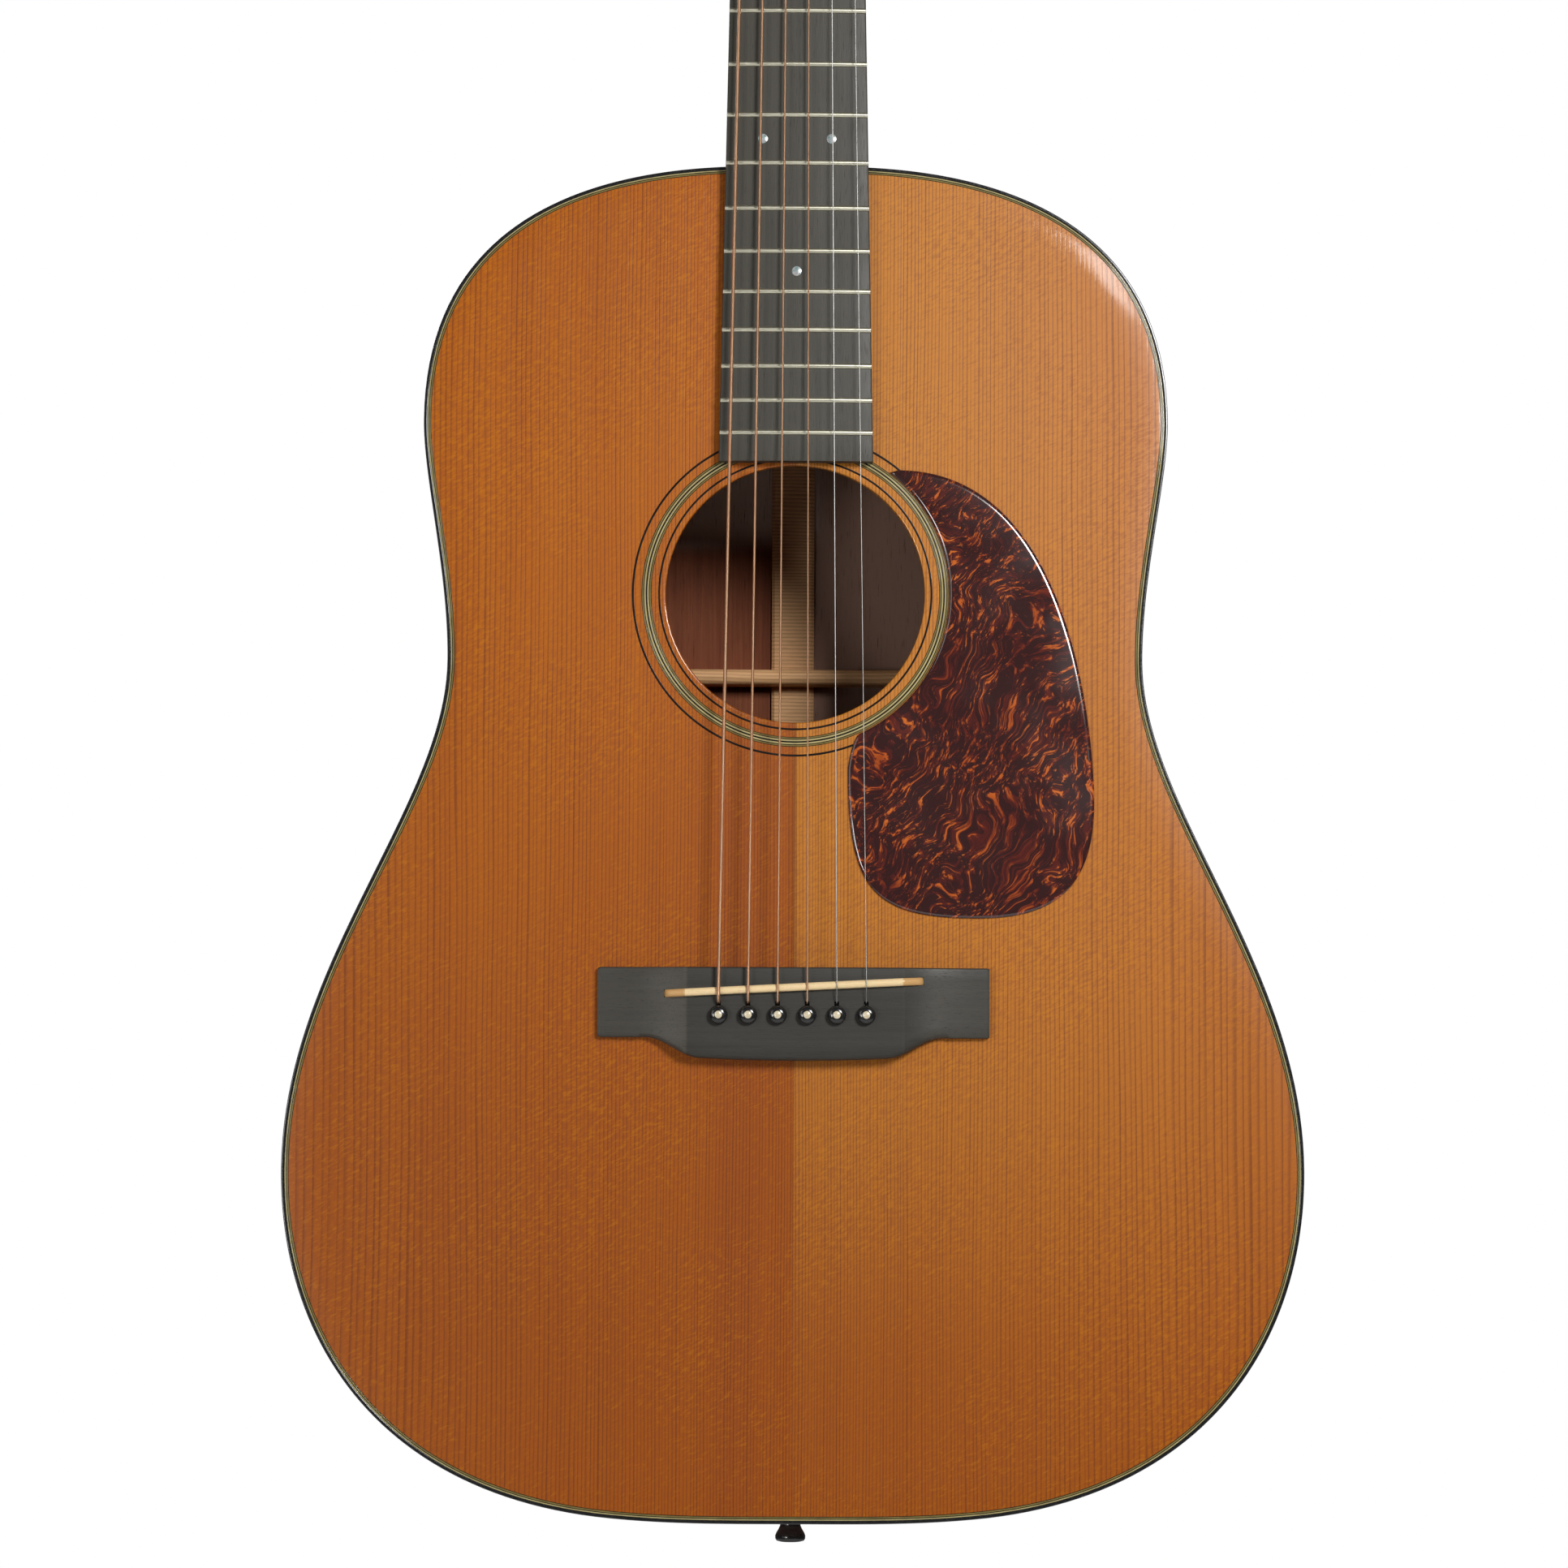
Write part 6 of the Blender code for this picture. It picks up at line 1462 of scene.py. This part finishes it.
def screw_tree():
    """A slotted, domed screw head on every point, turned as the point's own frame says."""
    t = PieceTree("plate_screws", Head_Radius="Float", Head_Height="Float", Seed="Int")
    radius, height = t.given["Head Radius"], t.given["Head Height"]
    ball = t.node("GeometryNodeMeshUVSphere", {"Segments": 24, "Rings": 12, "Radius": 1.0})
    shape = t.node("ShaderNodeCombineXYZ", {0: radius, 1: radius, 2: height})
    dome = t.node("GeometryNodeTransform", {"Geometry": ball, "Scale": shape})
    groove = t.node("GeometryNodeMeshCube", {"Size": (6 * MM, 0.45 * MM, 0.9 * MM)})
    groove = t.node("GeometryNodeTransform", {"Geometry": groove, "Translation": (0, 0, 1.1 * MM)})
    slotted = t.node("GeometryNodeMeshBoolean", {"Mesh 1": dome, "Mesh 2": groove}, operation="DIFFERENCE")
    facing = t.node("GeometryNodeInputNamedAttribute", {"Name": "facing"}, data_type="FLOAT_VECTOR").outputs[0]
    turn = t.node("FunctionNodeAlignRotationToVector", {"Vector": facing}, axis="Z")
    chance = {"Max": (0, 0, 3.1), "Seed": t.given["Seed"]}
    spin = t.node("FunctionNodeRandomValue", chance, data_type="FLOAT_VECTOR")
    turn = t.node("FunctionNodeRotateRotation", {"Rotation": turn, "Rotate By": spin}, rotation_space="LOCAL")
    screws = {"Points": t.given["Geometry"], "Instance": slotted, "Rotation": turn}
    return t.end(t.node("GeometryNodeInstanceOnPoints", screws))


def make_screws(low, high):
    """Four screws down each plate: at its ends and between its ears."""
    between = [(a + b) / 2 + 3.5 * MM for a, b in zip(POSTS, POSTS[1:])]
    spots = []
    for sign in (-1, 1):
        for u in (low + 3.2 * MM, *between, high - 3.6 * MM):
            spots.append((head_point(sign * (HEAD_HALF + 1.5 * MM), u, TUNER_V), (sign, 0, 0)))
    mesh = bpy.data.meshes.new("plate_screws")
    mesh.from_pydata([p for p, _ in spots], [], [])
    facing = mesh.attributes.new("facing", "FLOAT_VECTOR", "POINT")
    facing.data.foreach_set("vector", [c for _, f in spots for c in f])
    head = {"Head_Radius": 2.1 * MM, "Head_Height": 1.15 * MM, "Seed": 4}
    settle(screw_tree().grow("plate_screws", mesh, 35, Finish=NICKEL, **head), "nickel")


def thread(place, root, tip):
    """Rings of a worm's thread: three turns of a ridge with a flat crest."""
    flank, crest, foot = 0.16 * WORM_PITCH, 0.20 * WORM_PITCH, root - 0.1 * MM
    ridge = ((foot, -flank - crest / 2), (tip, -crest / 2), (tip, crest / 2), (foot, flank + crest / 2))
    rings = []
    for i in range(73):
        turns = i / 24 - 1.5
        c, s = math.cos(2 * math.pi * turns), math.sin(2 * math.pi * turns)
        rings.append([place(r * c, r * s, WORM_PITCH * turns + along) for r, along in ridge])
    return rings


def button(place, rear):
    """Rings of a flat oval button that stands on its shaft, a little waisted."""
    half_wide, half_tall, half_thick = 9 * MM, 7.5 * MM, 3.75 * MM

    def squared(value):
        return math.copysign(abs(value) ** 0.85, value)

    rings = []
    for i in range(13):
        lift = math.pi * i / 12
        level, share = -math.cos(lift), max(math.sin(lift), 0.04) ** 0.35
        ring = []
        for k in range(40):
            angle = 2 * math.pi * k / 40
            x = half_wide * share * squared(math.cos(angle))
            z = rear + half_tall + half_tall * share * squared(math.sin(angle))
            waist = 1 - 0.12 * max(math.cos(2 * angle), 0)
            ring.append(place(x * waist, level * half_thick, z))
        rings.append(ring)
    return rings


def make_worms():
    """Worm, shaft and button, turned and threaded, one for each tuner."""
    root, tip = WORM_RADIUS - 0.75 * MM, WORM_RADIUS + 0.6 * MM
    shaft, collar = 1.6 * MM, 3.0 * MM
    rear = HEAD_THICK - TUNER_V + 4.5 * MM
    front = -WORM_REACH - 0.6 * MM - 1.5 * MM - 1.2 * MM
    profile = [
        (0, front), (1.3 * MM, front), (shaft, front + 0.3 * MM), (shaft, -WORM_REACH),
        (root, -WORM_REACH + 0.3 * MM), (root, WORM_REACH - 0.3 * MM), (shaft, WORM_REACH),
        (shaft, rear - 2.8 * MM),
        (2.4 * MM, rear - 2.5 * MM), (collar, rear - 2.0 * MM), (collar, rear - 0.6 * MM),
        (2.4 * MM, rear + 1.5 * MM), (0, rear + 1.5 * MM),
    ]
    for number in range(1, 7):
        sign, post = tuner_of(number)
        seat = head_frame(sign * GEAR_X, POSTS[post] - WORM_DROP, TUNER_V)

        def place(a, b, z, seat=seat):
            return seat @ Vector((a, b, z))

        bm = bmesh.new()
        turned(bm, profile, place, 28)
        loft(bm, thread(place, root, tip))
        loft(bm, button(place, rear))
        name = f"tuner_shaft_{number}"
        piece(name + "_worm", bm, NICKEL, "nickel", [name], body=f"tuner_{number}", smooth=40)


def gear_outline():
    """Fourteen teeth with rounded tips, in the gear's own plane."""
    half_tooth = ((4.45, 0.30), (4.7, 0.245), (5.35, 0.16), (5.7, 0.12), (5.8, 0.06))
    tooth = [(4.45, -0.5)] + [(r, -off) for r, off in half_tooth] + list(reversed(half_tooth))
    step = 2 * math.pi / GEAR_TEETH
    points = []
    for k in range(GEAR_TEETH):
        middle = math.pi + (k + 0.5) * step
        for r, off in tooth:
            points.append((r * MM * math.cos(middle + off * step), r * MM * math.sin(middle + off * step)))
    return points


def make_rollers():
    """Post, toothed gear, screw, and the string's own turns round the post."""
    gear_in, gear_out = GEAR_X - 1.2 * MM, GEAR_X + 1.2 * MM
    rivet, washer = 2.7 * MM, circle(4.0 * MM, 40)
    profile = [
        (0, 5.8 * MM), (POST_RADIUS - 0.3 * MM, 5.8 * MM), (POST_RADIUS, 6.1 * MM), (POST_RADIUS, gear_in),
        (POST_RADIUS, gear_out - 0.3 * MM), (rivet, gear_out - 0.3 * MM), (rivet, gear_out + 0.7 * MM),
        (2.3 * MM, gear_out + 1.1 * MM), (0, gear_out + 1.3 * MM),
    ]
    teeth = gear_outline()
    for number in range(1, 7):
        sign, post = tuner_of(number)
        u = POSTS[post]

        def place(a, b, x, sign=sign, u=u):
            return head_point(sign * x, u + b, TUNER_V + a)

        def gear_place(a, b, x, sign=sign, u=u):
            return head_point(sign * x, u + a, TUNER_V + b)

        bm = bmesh.new()
        turned(bm, profile, place, 36)
        slab(bm, [[(teeth, gear_in), (teeth, gear_out)]], gear_place)
        stack = [(washer, gear_out - 0.1 * MM), (washer, gear_out + 0.25 * MM),
                 (inset(washer, 0.25 * MM), gear_out + 0.4 * MM)]
        slab(bm, [stack], gear_place)
        name = f"string_roller_{number}"
        piece(name + "_geared", bm, NICKEL, "nickel", [name], body=f"roller_{number}", smooth=32)
        r = STRING_RADII[number - 1]
        pitch = 2.05 * r
        turns = min(4.0 * MM / pitch, 4.6)
        layer = max(WINDING_RADIUS - 2 * r, POST_RADIUS) + r
        first = WINDING_X[post] + turns * pitch / 2
        path = []
        for i in range(int(turns * 28) + 1):
            t = 2 * math.pi * i / 28
            path.append(place(-layer * math.cos(t), layer * math.sin(t), first - pitch * i / 28))
        bm = bmesh.new()
        wire(bm, path, r, 10)
        piece(f"string_turns_{number}", bm, *wire_of(number), body=f"roller_{number}", smooth=60)


# ------------------------------------------------------- stage, light, camera
def make_stage():
    """A pale round floor well below, in a white room that lights the guitar only faintly."""
    rim_of_floor, floor_z = circle(1.25, 96), -0.5
    bm = bmesh.new()
    slab(bm, [[(rim_of_floor, -0.02), (rim_of_floor, 0.0)]], lambda a, b, z: Vector((a, b, floor_z + z)))
    f = Finish("pale_floor")
    x, y, z = f.place()
    speck = f.noise((x, 0.02), (y, 0.02), 0.0, 4.0)
    f.set(Base_Color=f.blend(f.fade(speck, 0.3, 0.7), (0.80, 0.80, 0.79), (0.84, 0.84, 0.83)), Roughness=0.7)
    floor = loose("floor", bm)
    floor.data.materials.append(f.made)
    world = bpy.data.worlds.new("white_room")
    bpy.context.scene.world = world
    world.use_nodes = True
    tree = world.node_tree
    tree.nodes.clear()
    seen = node(tree, "ShaderNodeBackground", {"Color": (1, 1, 1), "Strength": 1.0})
    light = node(tree, "ShaderNodeBackground", {"Color": (1.0, 0.985, 0.96), "Strength": 0.06})
    ray = node(tree, "ShaderNodeLightPath").outputs["Is Camera Ray"]
    both = node(tree, "ShaderNodeMixShader", {0: ray, 1: light.outputs[0], 2: seen.outputs[0]})
    feed(tree, node(tree, "ShaderNodeOutputWorld").inputs["Surface"], both.outputs[0])
    bpy.context.scene.view_settings.view_transform = "Standard"


def softbox(name, where, towards, width, height, power):
    """A rectangular lamp of so many watts, aimed at a point."""
    light = bpy.data.lights.new(name, "AREA")
    light.shape, light.size, light.size_y, light.energy = "RECTANGLE", width, height, power
    made = placed_object(name, light)
    made.location = where
    made.rotation_euler = (Vector(towards) - Vector(where)).to_track_quat("-Z", "Y").to_euler()


def make_lights():
    """A key from high on the treble side, a small one for the bright edge, and weak light from elsewhere."""
    softbox("key_softbox", (0.75, -1.60, 0.88), (0.02, TOP_Y, 0.3), 0.46, 0.46, 25.5)
    softbox("edge_softbox", (0.380, -1.60, 0.912), (0.12, TOP_Y, 0.49), 0.12, 0.12, 0.42)
    softbox("side_softbox", (-1.6, -1.3, 0.7), (0.0, TOP_Y, 0.3), 1.0, 1.4, 6.0)
    softbox("fill_softbox", (-0.95, -1.55, 0.10), (0.0, TOP_Y, 0.3), 0.4, 0.4, 6.0)
    softbox("back_softbox", (-0.9, 1.7, 1.2), (0.0, 0.0, 0.4), 1.2, 1.2, 22.0)


def make_camera():
    """From the front and slightly below, as far up as the ninth fret."""
    lens = bpy.data.cameras.new("front_view")
    lens.lens, lens.sensor_width = 94.70, 36.0
    pitch, yaw, tilt = 0.075, 0.0065, 0.0046
    aimed_at, away = Vector((-4.14 * MM, TOP_Y, 299.65 * MM)), 1.6137
    way = Vector((math.sin(yaw), math.cos(yaw) * math.cos(pitch), math.sin(pitch)))
    right = Vector((math.cos(yaw), -math.sin(yaw) * math.cos(pitch), -math.sin(yaw) * math.sin(pitch)))
    right.normalize()
    up = right.cross(way).normalized()
    turned_right = right * math.cos(tilt) + up * math.sin(tilt)
    turned_up = -right * math.sin(tilt) + up * math.cos(tilt)
    made = placed_object("front_view", lens)
    matrix = Matrix((turned_right, turned_up, -way)).transposed().to_4x4()
    matrix.translation = aimed_at - away * way
    made.matrix_world = matrix
    bpy.context.scene.camera = made


make_camera()
make_stage()
make_lights()
make_soundboard()
make_edging()
make_rosette()
make_sides()
make_back()
make_back_edging()
make_seen_brace()
make_centre_strip()
dress_hidden()
make_pickguard()
make_bridge()
make_saddle()
make_bridge_pins()
make_end_pin()
make_fingerboard()
make_frets()
make_dots()
make_neck()
make_heel_cap()
make_head_veneer()
make_nut()
make_strings()
make_plates()
make_worms()
make_rollers()
